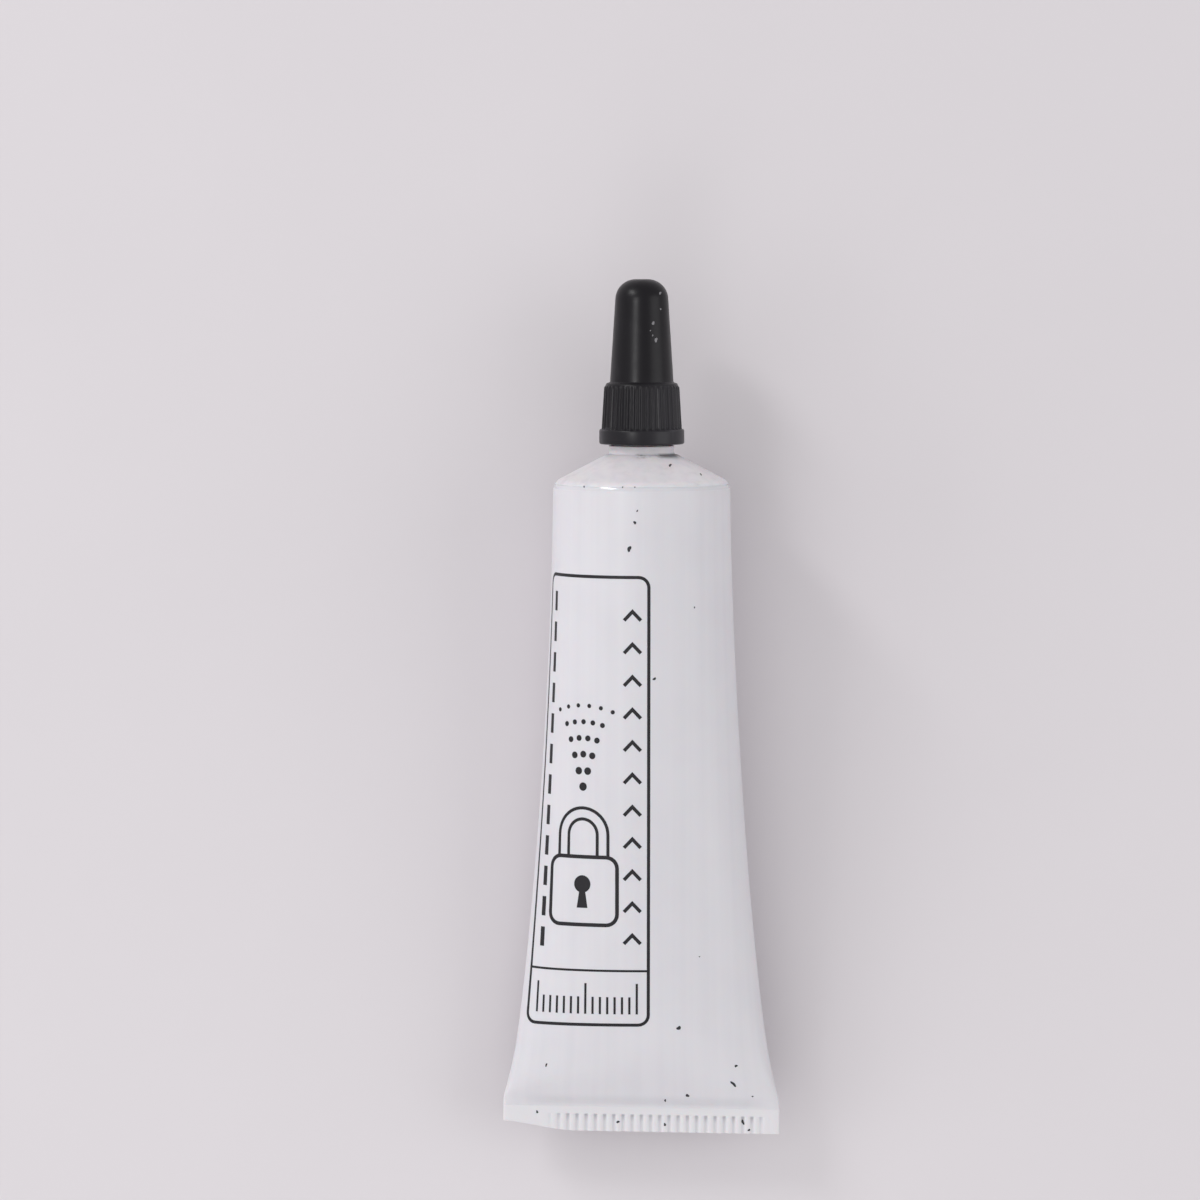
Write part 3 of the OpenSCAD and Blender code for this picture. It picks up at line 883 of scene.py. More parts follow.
def sleeve_grid(sizes, head):
    """The sleeve as one closed skin, a grid of rows from foot to rim and back, and columns round it.

    Each column keeps its arc from the middle of the front, as a line drawn on the flat sleeve would.
    Soft waves and the grooves of the serrated band are pressed in, the foot leans and loses its left
    corner, and the belly lies flat.
    """
    width, depth, along, outside = sleeve_rows(sizes, head)
    shares = np.linspace(0, 1, SLEEVE_COLUMNS // 4 + 1)[None, :]
    x, y = section_points(width, depth, squareness(sizes, depth), shares)
    across = np.concatenate([x[:, :-1], x[:, :0:-1], -x[:, :-1], -x[:, :0:-1]], axis=1)
    up = np.concatenate([y[:, :-1], -y[:, :0:-1], -y[:, :-1], y[:, :0:-1]], axis=1)
    along, outside = along[:, None], outside[:, None]

    taper = np.clip((RIM - along) / taper_length(sizes), 0, 1)
    turn = 2 * math.pi * np.arange(SLEEVE_COLUMNS)[None, :] / SLEEVE_COLUMNS
    kept = inward(sizes, turn, taper, across, up)
    across, up = across * kept, up * kept

    above = along - SEALED_EDGE
    face = step(np.abs(up), 0.2 * sizes.wall, 0.7 * sizes.wall) * outside
    up = np.sign(up) * np.maximum(np.abs(up) - grooves(sizes, across, above) * face, 0)

    trim = sizes.corner_trim * step(across, *CORNER_TRIM)
    along = along + foot_lean(sizes, across, above) + trim * step(above, sizes.ridge_band, 0.0)
    up = np.maximum(up, ground(along) + np.where(outside, 0.0, sizes.wall))
    return put(across, up, along)


def on_sleeve(sizes, arc_along, proud):
    """Points on the sleeve's front from their arc to the right of its middle and their place above the
    sealed edge, standing proud of the skin."""
    arc_out, above = arc_along[..., 0].ravel(), arc_along[..., 1].ravel()
    unslanted = above - foot_lean(sizes, arc_out, above)
    taper = np.clip((RIM - SEALED_EDGE - unslanted) / taper_length(sizes), 0, 1)
    depth = half_depth(sizes, taper)
    width = half_width(depth)
    shares = np.minimum(np.abs(arc_out) / SEAL_HALF_WIDTH, 1)[:, None]
    x, y = (part[:, 0] for part in section_points(width, depth, squareness(sizes, depth), shares))
    x = np.sign(arc_out) * x
    kept = inward(sizes, math.pi / 2 * arc_out / SEAL_HALF_WIDTH, taper, x, y)
    lean_x, lean_y = x / width**2, y / depth**2
    scale = np.broadcast_to(proud, arc_along.shape[:-1]).ravel() / np.hypot(lean_x, lean_y)
    up = y * kept + lean_y * scale - grooves(sizes, x, unslanted)
    points = put(x * kept + lean_x * scale, up, SEALED_EDGE + above)
    return points.reshape(*arc_along.shape[:-1], 3)


def on_round(radius_at, lean, across_along, proud):
    """Points on the upper side of a surface of revolution from their places across and along.

    The radius is a function of the place along, and the skin's normal leans towards the axis' end.
    """
    across, along = across_along[..., 0], across_along[..., 1]
    radius = radius_at(along)
    up = np.sqrt(np.maximum(radius**2 - across**2, 0))
    out = np.broadcast_to(proud, across.shape) * math.cos(lean) / radius
    return put(across * (1 + out), up * (1 + out), along + proud * math.sin(lean))


# Head, cap, disc and powder

def neck_foot_angle(head):
    """Angle of the shoulder's slope: the line from the neck's land that touches the rounded edge."""
    land = head.neck / 2 + head.land
    out, rise = RIM_RADIUS - head.edge_round - land, -RIM - head.edge_height
    return math.acos(head.edge_round / math.hypot(out, rise)) - math.atan2(out, rise)


def shoulder_radius(head, along):
    """Radius of the shoulder at a place along: its rounded edge, and the cone of its slope above that."""
    slope = neck_foot_angle(head)
    up_edge = along - RIM - head.edge_height
    edge = RIM_RADIUS - head.edge_round + np.sqrt(np.maximum(head.edge_round**2 - up_edge**2, 0))
    cone = head.neck / 2 + head.land - along / math.tan(slope)
    return np.where(up_edge < head.edge_round * math.cos(slope), edge, cone)


def head_grid(head, sleeve):
    """The head as a ring: its closed outline turned about the axis, with the thread on the neck.

    The outline goes up the plug, round the shoulder's edge under the sleeve's lip, up the slope, the
    neck and the nozzle, and down through the orifice and the passage.
    """
    slope = neck_foot_angle(head)
    plug = RIM_RADIUS - sleeve.wall - head.plug_clear
    bore = plug - head.plug_wall
    land = head.neck / 2 + head.land
    root = head.neck / 2 - head.thread_depth
    collar = head.neck / 2 + head.collar - INSIDE
    edge = (RIM_RADIUS - head.edge_round, RIM + head.edge_height)
    under_lip = head.edge_round - sleeve.lip - head.seam / 2
    shown = head.edge_round - head.seam / 2
    seam_end = sleeve.lip_wrap + head.seam / head.edge_round
    tip_wall = (head.nozzle_tip / 2 - head.tip_round, NOZZLE_TIP - head.tip_round)
    orifice, orifice_end = head.orifice / 2, NOZZLE_TIP - head.orifice_length
    passage = head.passage / 2
    drop = head.wall / math.cos(slope)
    soft, chamfer, slope_end = 0.12 * MM, 0.1 * MM, 0.3 * MM

    def under_slope(radius):
        return -(radius - land) * math.tan(slope) - drop

    outline = np.concatenate([
        line((bore, PLUG_END), (plug, PLUG_END), 4),
        line((plug, PLUG_END), (plug, RIM), 8),
        line((plug, RIM), (edge[0] + under_lip, RIM), 3),
        arc(edge, under_lip, 0.0, sleeve.lip_wrap, 6),
        arc(edge, shown, seam_end, math.pi / 2 - slope, 10),
        line((land + slope_end, -slope_end * math.tan(slope)), (land, 0.0), 2),
        line((land, 0.0), (collar + soft, 0.0), 3),
        line((collar, soft), (collar, head.collar_height - soft), 6),
        arc((collar - soft, head.collar_height - soft), soft, 0.0, math.pi / 2, 5),
        line((root + soft, head.collar_height), (root, head.collar_height + soft), 2),
        line((root, head.collar_height + soft), (root, head.neck_height - soft), 90),
        line((root - soft, head.neck_height), (head.nozzle_foot / 2 + soft, head.neck_height), 4),
        line((head.nozzle_foot / 2, head.neck_height + soft), (head.nozzle_tip / 2, tip_wall[1]), 30),
        arc(tip_wall, head.tip_round, 0.0, math.pi / 2, 7),
        line((orifice + chamfer, NOZZLE_TIP), (orifice, NOZZLE_TIP - chamfer), 3),
        line((orifice, NOZZLE_TIP - chamfer), (orifice, orifice_end), 5),
        line((orifice, orifice_end), (passage, under_slope(passage)), 12),
        line((passage, under_slope(passage)), (bore, under_slope(bore)), 10),
        line((bore, under_slope(bore)), (bore, PLUG_END), 6),
    ])
    start = thread_start(head)

    def ridge(turn, along, radius):
        on_neck = np.abs(radius - root) < SAME_LENGTH
        return on_neck * head.thread_depth * thread(turn, along, start, head.thread_turns, head)

    return revolve(outline, HEAD_COLUMNS, ridge)


def nose_shape(cap, head):
    """Draft of the nose, its radius at the foot of the nozzle, and the place and radius of the centre
    that its closed end is rounded about."""
    draft = math.atan((head.nozzle_foot - head.nozzle_tip) / 2 / (NOZZLE_TIP - head.neck_height))
    foot = head.nozzle_foot / 2 + cap.nose_gap + cap.nose_wall - INSIDE
    tip = CAP_TIP - cap.tip_round
    touch = foot - math.tan(draft) * (tip + cap.tip_round * math.sin(draft) - head.neck_height)
    return draft, foot, tip, touch - cap.tip_round * math.cos(draft)


def nose_radius(cap, head, along):
    """Radius of the nose at a place along: its cone, and the round of its closed end."""
    draft, foot, tip, centre = nose_shape(cap, head)
    cone = foot - math.tan(draft) * (along - head.neck_height)
    end = centre + np.sqrt(np.maximum(cap.tip_round**2 - (along - tip) ** 2, 0))
    return np.where(along < tip + cap.tip_round * math.sin(draft), cone, end)


def cap_grid(cap, head):
    """The cap as one skin from the roof inside its nose, down its bore and round the bead, up the
    skirt and the nose to the tip. Ribs stand out of the skirt by a cosine, and a thread out of the bore.
    """
    bore = head.neck / 2 + cap.thread_clear
    roof = head.neck_height + cap.roof_gap
    skirt_top = roof + cap.roof
    skirt_radius = bore + cap.skirt_wall
    skirt_foot = skirt_radius + cap.skirt_draft
    bead_top = CAP_FOOT + cap.bead_height
    draft, _, tip, tip_centre = nose_shape(cap, head)
    nose_foot = float(nose_radius(cap, head, skirt_top))
    inner_foot = head.nozzle_foot / 2 - math.tan(draft) * (roof - head.neck_height) + cap.nose_gap
    bead = BEAD_RADIUS - cap.bead_round
    quarter = math.pi / 2
    pocket = head.nozzle_tip / 2 + cap.nose_gap
    shoulder = skirt_radius - cap.skirt_round
    fillet = 0.12 * MM

    outline = np.concatenate([
        line((0.0, LINER_TOP), (pocket, LINER_TOP), 4),
        line((pocket, LINER_TOP), (pocket, LINER_FOOT), 3),
        line((pocket, LINER_FOOT), (inner_foot, roof), 10),
        line((inner_foot, roof), (bore, roof), 5),
        line((bore, roof), (bore, CAP_FOOT + fillet), 72),
        line((bore + fillet, CAP_FOOT), (bead, CAP_FOOT), 3),
        arc((bead, CAP_FOOT + cap.bead_round), cap.bead_round, -quarter, 0.0, 7),
        arc((bead, bead_top - cap.bead_round), cap.bead_round, 0.0, quarter, 7),
        line((skirt_foot + fillet, bead_top), (skirt_foot, bead_top + fillet), 2),
        line((skirt_foot, bead_top + fillet), (skirt_radius, skirt_top - cap.skirt_round), 22),
        arc((shoulder, skirt_top - cap.skirt_round), cap.skirt_round, 0.0, quarter, 8),
        line((nose_foot + fillet, skirt_top), (nose_foot, skirt_top + fillet), 2),
        line((nose_foot, skirt_top + fillet),
             (tip_centre + cap.tip_round * math.cos(draft), tip + cap.tip_round * math.sin(draft)), 24),
        arc((tip_centre, tip), cap.tip_round, draft, quarter, 16),
        line((tip_centre, CAP_TIP), (0.0, CAP_TIP), 4)[1:],
        [(0.0, CAP_TIP)],
    ])
    start = thread_start(head) + head.thread_lead / 2
    rib_foot, rib_crest, margin = -0.7, 0.8, 0.01 * MM
    ribs_top = skirt_top - cap.skirt_round
    begin = (bead_top - 0.1 * MM, bead_top + 0.15 * MM)
    end = (ribs_top, ribs_top - 1.5 * cap.rib_height)

    def ribs_and_thread(turn, along, radius):
        rib = step(np.cos(cap.rib_count * turn), rib_foot, rib_crest)
        on_skirt = radius > skirt_radius - margin
        in_bore = np.abs(radius - bore) < SAME_LENGTH
        ridge = thread(turn, along, start, cap.thread_turns, head)
        ribs = on_skirt * cap.rib_height * rib * between(along, begin, end)
        return ribs - in_bore * head.thread_depth * ridge

    return revolve(outline, cap.rib_count * CAP_STEPS_PER_RIB, ribs_and_thread)


def disc_grid(head):
    """The soft disc: a rounded outline turned about the axis, pressed in a ring by the nozzle's tip."""
    soft = 0.2 * MM
    shallow = 0.25
    quarter = math.pi / 2
    rim = LINER_RADIUS - soft
    dent = arc((head.nozzle_tip / 2 - 2 * soft, LINER_FOOT), soft, math.pi, 0.0, 9)
    outline = np.concatenate([
        [(0.0, LINER_FOOT)],
        dent * (1, shallow) + (0.0, (1 - shallow) * LINER_FOOT),
        arc((rim, LINER_FOOT + soft), soft, -quarter, 0.0, 6),
        arc((rim, LINER_TOP - soft), soft, 0.0, quarter, 6),
        [(0.0, LINER_TOP)],
    ])
    return revolve(outline, DISC_COLUMNS)


def powder_grid(sizes):
    """The charge of powder: each row runs under it along the sleeve's inside and back over its top.

    The underside is the part of an oval that lies below the level, and the top is that level with
    small heaps, a sum of sines, that die out at its edges. The end rows are drawn in to a point.
    """
    clear, heap_room, heap_height = 0.35 * MM, 0.25 * MM, 0.06 * MM
    fullest, emptiest = -0.95, 0.98
    inset = sizes.wall + clear
    along = np.linspace(POWDER_FOOT, POWDER_HEAD, POWDER_ROWS)
    depth = half_depth(sizes, (RIM - along) / taper_length(sizes))
    width = (half_width(depth) - inset)[:, None]
    depth = (depth - inset)[:, None]
    along = along[:, None]
    level = (POWDER_TOP - NECK_FOOT[2] - along * AXIS[2]) / UP[2] - heap_room
    first = np.arcsin(np.clip(-level / depth, fullest, emptiest))
    turn = first + (math.pi - 2 * first) * np.linspace(0, 1, POWDER_COLUMNS)[None, :]
    bottom = np.maximum(-depth * np.sin(turn), ground(along) + inset)
    under = np.stack([width * np.cos(turn), bottom], axis=-1)
    share = np.linspace(0, 1, POWDER_COLUMNS + 2)[None, 1:-1]
    over_x = under[:, -1:, 0] + (under[:, :1, 0] - under[:, -1:, 0]) * share
    over_y = under[:, -1:, 1] + (under[:, :1, 1] - under[:, -1:, 1]) * share
    heaps = sum(np.sin(over_x / (wide * MM) + along / (long * MM)) for wide, long in POWDER_HEAPS)
    over_y = over_y + heap_height * heaps * np.sin(math.pi * share)
    rows = np.concatenate([under, np.stack([over_x, over_y], axis=-1)], axis=1)
    middle = rows.mean(axis=1, keepdims=True) + np.zeros_like(rows)
    rows = np.concatenate([middle[:1], rows, middle[-1:]])
    along = np.concatenate([along[:1], along, along[-1:]])
    return put(rows[..., 0], rows[..., 1], along)


# Printed panel and specks

def dense(path, closed, spacing=0.4 * MM):
    """A path with points added along its straight stretches, so that it can bend with the sleeve."""
    path = np.array(path, float)
    whole = np.concatenate([path, path[:1]]) if closed else path
    run = np.append(0.0, np.cumsum(np.linalg.norm(np.diff(whole, axis=0), axis=1)))
    places = np.union1d(run, np.linspace(0, run[-1], max(2, int(run[-1] / spacing))))
    places = places[np.append(True, np.diff(places) > SAME_LENGTH)]
    if closed:
        places = places[:-1]
    return np.stack([np.interp(places, run, whole[:, 0]), np.interp(places, run, whole[:, 1])], axis=-1)


def ribbon(surface, ink, path, width, closed=False):
    """A printed line: a flat strip carried along a path of arcs and places above the sealed edge.

    The strip's sides lie half its width off the path, square to the mean of the directions before and
    after each point and longer at a bend, up to twice. Its section is a rectangle sunk in the sleeve, and
    the ends of an open strip are drawn in to a point.
    """
    least_cosine = 0.5
    path = dense(path, closed)
    before = path - np.roll(path, 1, axis=0)
    after = np.roll(path, -1, axis=0) - path
    if not closed:
        before[0], after[-1] = after[0], before[-1]
    before = before / np.linalg.norm(before, axis=1, keepdims=True)
    after = after / np.linalg.norm(after, axis=1, keepdims=True)
    mean = before + after
    mean = mean / np.linalg.norm(mean, axis=1, keepdims=True)
    reach_out = width / 2 / np.maximum(np.einsum("ij,ij->i", mean, after), least_cosine)
    side = np.stack([-mean[:, 1], mean[:, 0]], axis=-1) * reach_out[:, None]
    strip = np.stack([path - side, path + side, path + side, path - side], axis=1)
    height = np.array([-ink.sunk, -ink.sunk, ink.proud, ink.proud])
    rows = surface(strip, height)
    if closed:
        return rows, True
    ends = rows.mean(axis=1, keepdims=True) + np.zeros_like(rows)
    return np.concatenate([ends[:1], rows, ends[-1:]]), False


def blot(surface, ink, outline):
    """A printed or fallen spot: a closed outline on a surface, filled to its middle on both faces."""
    middle = np.zeros_like(outline) + outline.mean(axis=0)
    rings = np.stack([middle, outline, outline, middle])
    height = np.array([-ink.sunk, -ink.sunk, ink.proud, ink.proud])[:, None]
    return surface(rings, height + np.zeros(outline.shape[0])), False


def ring_path(centre, radius, count=24):
    """Even points on a circle."""
    return arc(centre, radius, 0.0, 2 * math.pi, count + 1)[:-1]


def rounded_box(left, right, foot, head, corner):
    """A rectangle with round corners, as a closed path."""
    quarter, corner_points = math.pi / 2, 7
    corners = [(right - corner, foot + corner), (right - corner, head - corner),
               (left + corner, head - corner), (left + corner, foot + corner)]
    return np.concatenate([arc(centre, corner, (turn - 1) * quarter, turn * quarter, corner_points)
                           for turn, centre in enumerate(corners)])


def tick_scale(front, ink, left, foot):
    """Strips of a scale: even ticks that stand on one line, every seventh of them tall."""
    count, tall_every = 15, 7
    inset, rise, pitch = 1.25 * MM, 1.2 * MM, 0.8 * MM
    short, tall = 1.9 * MM, 3.4 * MM
    low = foot + rise
    strips = []
    for index in range(count):
        across = left + inset + index * pitch
        high = low + (tall if index % tall_every == 0 else short)
        strips.append(ribbon(front, ink, [(across, low), (across, high)], ink.fine_line))
    return strips


def padlock(front, ink, middle, base, top):
    """Strips and spots of a padlock: a round-cornered body, a bow of two lines, and a keyhole."""
    half, corner = 3.9 * MM, 1.2 * MM
    bow_rise, bow_radii = 2.4 * MM, (2.9 * MM, 1.7 * MM)
    hole_radius, hole_share = 0.95 * MM, 0.6
    stroke, bend_points = 1.2 * ink.line, 25
    body = rounded_box(middle - half, middle + half, base, top, corner)
    grids = [ribbon(front, ink, body, stroke, True)]
    for bow in bow_radii:
        bend = arc((middle, top + bow_rise), bow, 0.0, math.pi, bend_points)
        path = np.concatenate([[(middle + bow, top)], bend, [(middle - bow, top)]])
        grids.append(ribbon(front, ink, path, ink.line))
    hole = np.array((middle, base + hole_share * (top - base)))
    slot = np.array([(-0.3, -0.5), (0.3, -0.5), (0.62, -2.6), (-0.62, -2.6)]) * MM
    grids.append(blot(front, ink, ring_path(hole, hole_radius)))
    grids.append(blot(front, ink, dense(hole + slot, True)))
    return grids


def puff(front, ink, middle, start):
    """Spots of a puff of dust: rows of dots on arcs about its start, each row with one more, smaller dot."""
    rows, dot_steps = 6, 14
    nearest, pitch = 1.0 * MM, 1.75 * MM
    largest, shrink = 0.46 * MM, 0.045 * MM
    least_turn, least_gap = math.radians(8.2), 1.1 * MM
    spots = []
    for row in range(rows):
        distance = nearest + pitch * row
        turn = max(least_turn, least_gap / distance)
        for place in range(row + 1):
            lean = math.pi / 2 + (place - row / 2) * turn
            centre = (middle + distance * math.cos(lean), start + distance * math.sin(lean))
            spots.append(blot(front, ink, ring_path(centre, largest - shrink * row, dot_steps)))
    return spots


def chevrons(front, ink, point, low):
    """Strips of a column of chevrons that point to the cap."""
    count, pitch, stroke = 11, 3.5 * MM, 1.1 * ink.line
    half, height = 0.9 * MM, 0.95 * MM
    shape = np.array([(point - half, 0.0), (point, height), (point + half, 0.0)])
    return [ribbon(front, ink, shape + (0.0, foot), stroke) for foot in low + pitch * np.arange(count)]


def dashes(front, ink, across, low):
    """Strips of an upright rule of dashes."""
    count, pitch, stroke = 12, 3.3 * MM, 1.7 * ink.line
    height = 2.1 * MM
    shape = np.array([(across, 0.0), (across, height)])
    return [ribbon(front, ink, shape + (0.0, foot), stroke) for foot in low + pitch * np.arange(count)]


def panel_grids(front, ink):
    """Strips and spots of the printed panel.

    A round-cornered frame holds a scale of ticks in a cell at its foot, a padlock in outline, a puff of
    dots above it, a column of chevrons that point to the cap and a rule of dashes.
    """
    left, right = -ink.left, ink.right
    cell = ink.foot + ink.cell
    middle = left + ink.lock_middle
    lock_foot = cell + ink.lock_rise
    lock_top = lock_foot + ink.lock_height
    border = rounded_box(left, right, ink.foot, ink.head, ink.corner)
    return [
        ribbon(front, ink, border, ink.line, True),
        ribbon(front, ink, [(left, cell), (right, cell)], ink.fine_line),
        *tick_scale(front, ink, left, ink.foot),
        *padlock(front, ink, middle, lock_foot, lock_top),
        *puff(front, ink, middle, lock_top + ink.puff_rise),
        *chevrons(front, ink, right - ink.chevron_inset, cell + ink.chevron_rise),
        *dashes(front, ink, left + ink.dash_inset, cell + ink.dash_rise),
    ]


# Graphite fallen on the sleeve: arc, place above the sealed edge and half width of each speck in
# millimetres, and its stretch
SLEEVE_SPECKS = (
    (-1.4, 64.25, 0.205, 1.45), (-0.8, 67.05, 0.15, 1.1), (-0.55, 68.3, 0.08, 1.4), (-10.2, 7.95, 0.10, 1.7),
    (5.9, 57.9, 0.08, 1.2), (4.0, 12.25, 0.21, 1.1), (10.8, 1.35, 0.15, 1.7), (1.3, 50.35, 0.15, 1.1),
    (4.8, 4.4, 0.17, 1.1), (2.5, 3.8, 0.09, 1.8), (9.6, 5.8, 0.17, 2.0), (-11.1, 2.5, 0.13, 1.0),
    (-2.5, 1.4, 0.15, 1.0), (2.5, 1.1, 0.14, 1.0), (10.1, 7.85, 0.15, 1.0), (11.45, 0.5, 0.11, 1.3),
    (6.3, 20.1, 0.07, 1.0), (11.6, 4.3, 0.09, 1.0),
)
# Graphite on the shoulder and dust on the cap's nose: place across, place along and half width in
# millimetres, and stretch
SHOULDER_SPECKS = ((3.0, -0.95, 0.14, 0.9), (6.3, -1.95, 0.11, 0.6), (-6.2, -3.15, 0.09, 0.9),
                   (-2.1, -3.1, 0.07, 0.8), (-0.8, -3.1, 0.06, 1.0))
NOSE_DUST = ((1.95, 17.4, 0.11, 1.3), (2.0, 15.7, 0.08, 1.2), (1.2, 14.2, 0.15, 1.1), (1.5, 12.4, 0.17, 1.2),
             (1.15, 12.9, 0.08, 1.0), (0.9, 13.4, 0.06, 1.0))


def flake(spot, width, stretch, seed):
    """Outline of an irregular speck: a circle whose radius changes by sines of the turn, drawn out along
    a direction that the seed sets."""
    count, two_lobes, three_lobes = 18, 0.22, 0.14
    turn = 2 * math.pi * np.arange(count) / count
    lobes = two_lobes * np.sin(2 * turn + seed) + three_lobes * np.sin(3 * turn + 2.3 * seed)
    radius = width * (1 + lobes)
    wide, tall = radius * np.cos(turn), stretch * radius * np.sin(turn)
    lean = math.sin(3.1 * seed)
    return np.array(spot) + np.stack([wide * math.cos(lean) - tall * math.sin(lean),
                                      wide * math.sin(lean) + tall * math.cos(lean)], axis=-1)


def fallen(surface, ink, specks):
    """Specks fallen on a surface, each a thin spot sunk in it."""
    return [blot(surface, ink, flake((across * MM, along * MM), width * MM, stretch, 1.7 * number))
            for number, (across, along, width, stretch) in enumerate(specks)]


# Stage

def lay_floor(scene, colours):
    """The plain floor that the tube lies on."""
    mesh = bpy.data.meshes.new("floor")
    corners = [(-FLOOR_HALF, -FLOOR_HALF, 0.0), (FLOOR_HALF, -FLOOR_HALF, 0.0),
               (FLOOR_HALF, FLOOR_HALF, 0.0), (-FLOOR_HALF, FLOOR_HALF, 0.0)]
    mesh.from_pydata(corners, [], [(0, 1, 2, 3)])
    mesh.materials.append(floor_finish(colours))
    floor = bpy.data.objects.new("floor", mesh)
    scene.collection.objects.link(floor)


def hang_lamp(scene, name, watts, place, size, soft=True, mirrored=True):
    """An oblong lamp that faces the middle of the tube. It lights dull finishes where it is soft, and
    shows in glossy ones where it is mirrored."""
    data = bpy.data.lights.new(name, "AREA")
    data.shape = "RECTANGLE"
    data.size, data.size_y = size
    data.energy = watts
    lamp = bpy.data.objects.new(name, data)
    lamp.location = place
    lamp.rotation_euler = lamp.location.to_track_quat("Z", "Y").to_euler()
    lamp.visible_diffuse = soft
    lamp.visible_glossy = mirrored
    scene.collection.objects.link(lamp)


def light_surround(scene, colours, strength):
    """Even white light from all round, which the camera sees as the backdrop's tone."""
    world = bpy.data.worlds.new("surround")
    world.use_nodes = True
    light = world.node_tree.nodes["Background"]
    light.inputs["Color"].default_value = (1.0, 1.0, 1.0, 1.0)
    light.inputs["Strength"].default_value = strength
    nodes = Nodes(world.node_tree)
    even = nodes.node("ShaderNodeBackground", {}, {"Color": as_colour(colours.backdrop)})
    nodes.backed(1.0, light, even, "World Output")
    scene.world = world


def place_camera(scene, stage):
    """A camera straight above the tube, with the lens that shows the view's width at the neck's height."""
    data = bpy.data.cameras.new("camera")
    data.lens = data.sensor_width * (stage.camera_height - NECK_FOOT[2]) / stage.view_width
    camera = bpy.data.objects.new("camera", data)
    camera.location = (-stage.view_left, stage.view_up, stage.camera_height)
    scene.collection.objects.link(camera)
    scene.camera = camera


# Operators

def settings_of(context):
    """The tube's settings on the scene."""
    return context.scene.lubricant_tube


class TUBE_OT_sleeve(Operator):
    """Make the white sleeve with its welded, serrated foot"""

    bl_idname = "tube.sleeve"
    bl_label = "Sleeve"

    def execute(self, context):
        tube = settings_of(context)
        make_piece("sleeve", [(sleeve_grid(tube.sleeve, tube.head), False)],
                   sleeve_finish(tube.finishes, tube.sleeve), "tube", ["tube_sleeve"],
                   crease=50)
        return {"FINISHED"}


class TUBE_OT_head(Operator):
    """Make the shoulder with its threaded neck and its nozzle"""

    bl_idname = "tube.head"
    bl_label = "Head"

    def execute(self, context):
        tube = settings_of(context)
        make_piece("head", [(head_grid(tube.head, tube.sleeve), True)],
                   head_finish(tube.finishes, tube.head), "tube", ["tube_head"])
        return {"FINISHED"}


class TUBE_OT_powder(Operator):
    """Make the charge of graphite powder in the sleeve"""

    bl_idname = "tube.powder"
    bl_label = "Powder"

    def execute(self, context):
        tube = settings_of(context)
        make_piece("powder", [(powder_grid(tube.sleeve), False)], graphite_finish(tube.finishes),
                   "tube", ["graphite_powder"])
        return {"FINISHED"}


class TUBE_OT_cap(Operator):
    """Make the black screw cap"""

    bl_idname = "tube.cap"
    bl_label = "Cap"

    def execute(self, context):
        tube = settings_of(context)
        make_piece("cap", [(cap_grid(tube.cap, tube.head), False)],
                   cap_finish(tube.finishes, tube.cap, tube.head), "cap", ["screw_cap"])
        return {"FINISHED"}


class TUBE_OT_disc(Operator):
    """Make the soft disc that the nozzle closes on"""

    bl_idname = "tube.disc"
    bl_label = "Disc"

    def execute(self, context):
        tube = settings_of(context)
        make_piece("disc", [(disc_grid(tube.head), False)], disc_finish(tube.finishes),
                   "liner", ["cap_liner"])
        return {"FINISHED"}


class TUBE_OT_panel_print(Operator):
    """Print the panel on the sleeve's front"""

    bl_idname = "tube.panel_print"
    bl_label = "Printed panel"

    def execute(self, context):
        tube = settings_of(context)

        def front(places, proud):
            return on_sleeve(tube.sleeve, places, proud)

        make_piece("printed_panel", panel_grids(front, tube.printing), ink_finish(tube.finishes),
                   "tube")
        return {"FINISHED"}


class TUBE_OT_specks(Operator):
    """Scatter specks of graphite on the sleeve and the shoulder, and pale dust on the cap"""

    bl_idname = "tube.specks"
    bl_label = "Specks"

    def execute(self, context):
        tube = settings_of(context)
        ink = tube.printing
        shoulder_lean = math.pi / 2 - neck_foot_angle(tube.head)

        def sleeve(places, proud):
            return on_sleeve(tube.sleeve, places, proud)

        def shoulder(places, proud):
            return on_round(lambda along: shoulder_radius(tube.head, along), shoulder_lean, places, proud)

        def nose(places, proud):
            return on_round(lambda along: nose_radius(tube.cap, tube.head, along), 0.0, places, proud)

        graphite = fallen(sleeve, ink, SLEEVE_SPECKS) + fallen(shoulder, ink, SHOULDER_SPECKS)
        dust = fallen(nose, ink, NOSE_DUST)
        make_piece("graphite_specks", graphite, graphite_finish(tube.finishes), "tube")
        make_piece("cap_dust", dust, dust_finish(tube.finishes), "cap")
        return {"FINISHED"}


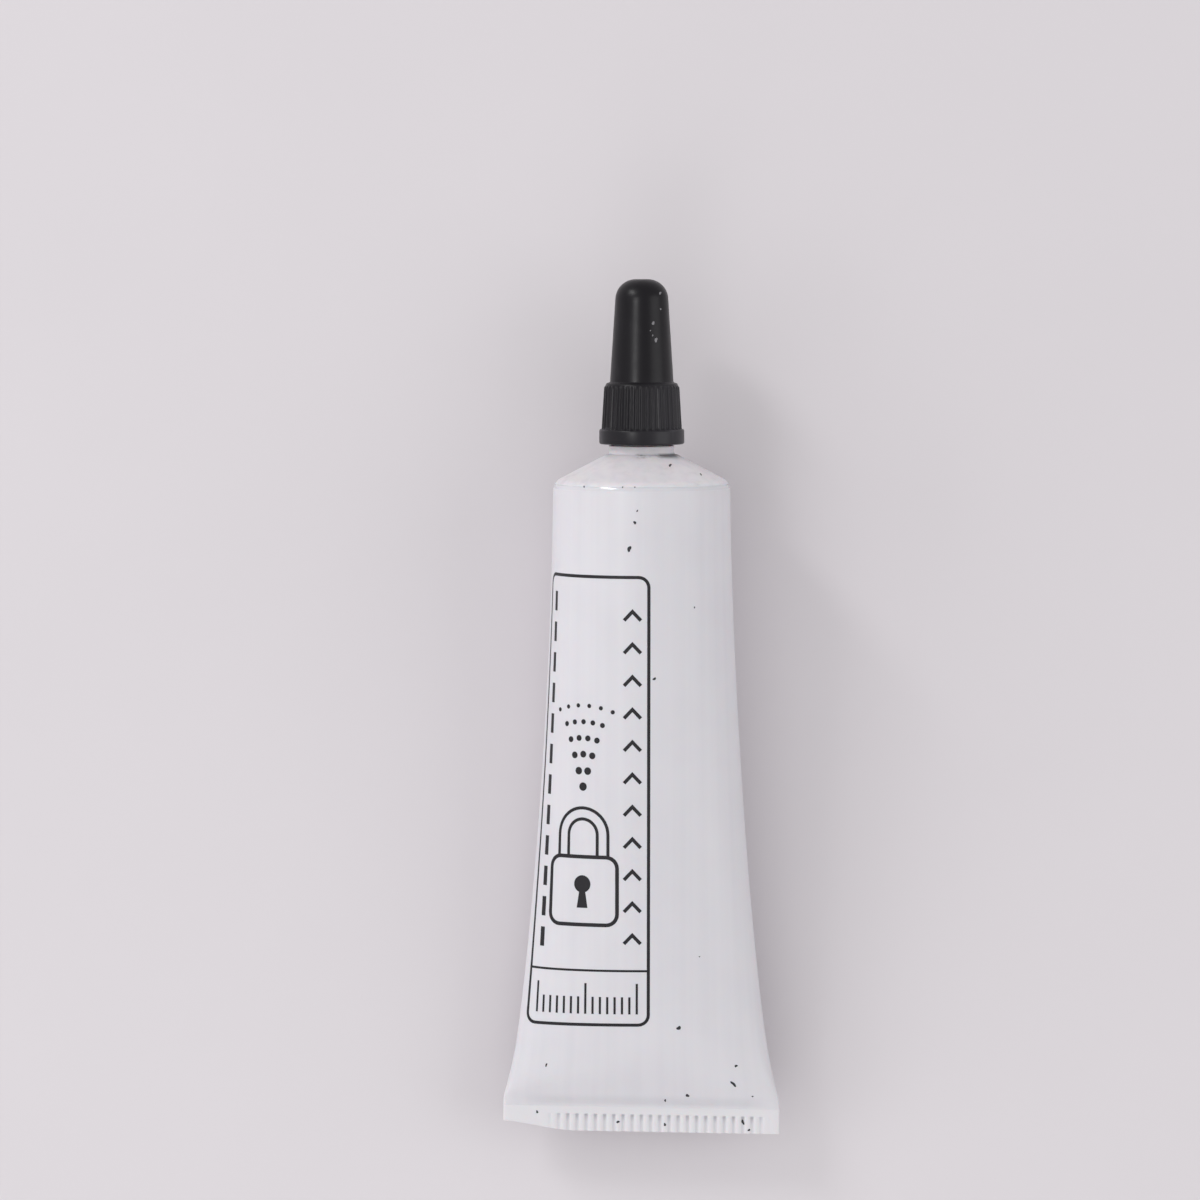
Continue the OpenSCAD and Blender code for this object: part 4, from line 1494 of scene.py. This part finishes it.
class TUBE_OT_stage(Operator):
    """Lay the floor, set the lamps and place the camera over the tube"""

    bl_idname = "tube.stage"
    bl_label = "Stage"

    def execute(self, context):
        tube = settings_of(context)
        scene = context.scene
        stage = tube.stage
        lay_floor(scene, tube.finishes)
        hang_lamp(scene, "key", stage.key, place=(-0.54, -0.10, 0.18), size=(0.34, 0.34), mirrored=False)
        hang_lamp(scene, "fill", stage.fill, place=(0.46, 0.0, 0.30), size=(0.40, 0.40))
        hang_lamp(scene, "front", stage.front, place=(-0.10, -0.45, 0.30), size=(0.34, 0.34), mirrored=False)
        hang_lamp(scene, "strip", stage.strip, place=(-0.22, 0.055, 0.46), size=(0.015, 0.10), soft=False)
        hang_lamp(scene, "glint", stage.glint, place=(-0.378, 0.40, 0.33), size=(0.10, 0.22))
        light_surround(scene, tube.finishes, stage.surround)
        place_camera(scene, stage)
        scene.view_settings.view_transform = "Standard"
        return {"FINISHED"}


class TUBE_PT_sidebar(Panel):
    """Lists the tube's pieces and their sizes"""

    bl_label = "Lubricant tube"
    bl_space_type = "VIEW_3D"
    bl_region_type = "UI"
    bl_category = "Tube"

    def draw(self, context):
        tube = settings_of(context)
        for operator in OPERATORS:
            self.layout.operator(operator.bl_idname)
        for group in (tube.sleeve, tube.head, tube.cap, tube.printing, tube.finishes, tube.stage):
            box = self.layout.box()
            for name in group.__annotations__:
                box.prop(group, name)


OPERATORS = (TUBE_OT_sleeve, TUBE_OT_head, TUBE_OT_powder, TUBE_OT_cap, TUBE_OT_disc, TUBE_OT_panel_print,
             TUBE_OT_specks, TUBE_OT_stage)
CLASSES = (SleeveSizes, HeadSizes, CapSizes, PrintSizes, Finishes, StageSizes, TubeSettings,
           *OPERATORS, TUBE_PT_sidebar)


def register():
    for cls in CLASSES:
        bpy.utils.register_class(cls)
    bpy.types.Scene.lubricant_tube = PointerProperty(type=TubeSettings)


def unregister():
    del bpy.types.Scene.lubricant_tube
    for cls in reversed(CLASSES):
        bpy.utils.unregister_class(cls)


def main():
    """Makes every piece and the stage."""
    register()
    bpy.ops.tube.sleeve()
    bpy.ops.tube.head()
    bpy.ops.tube.powder()
    bpy.ops.tube.cap()
    bpy.ops.tube.disc()
    bpy.ops.tube.panel_print()
    bpy.ops.tube.specks()
    bpy.ops.tube.stage()


if __name__ == "__main__":
    main()
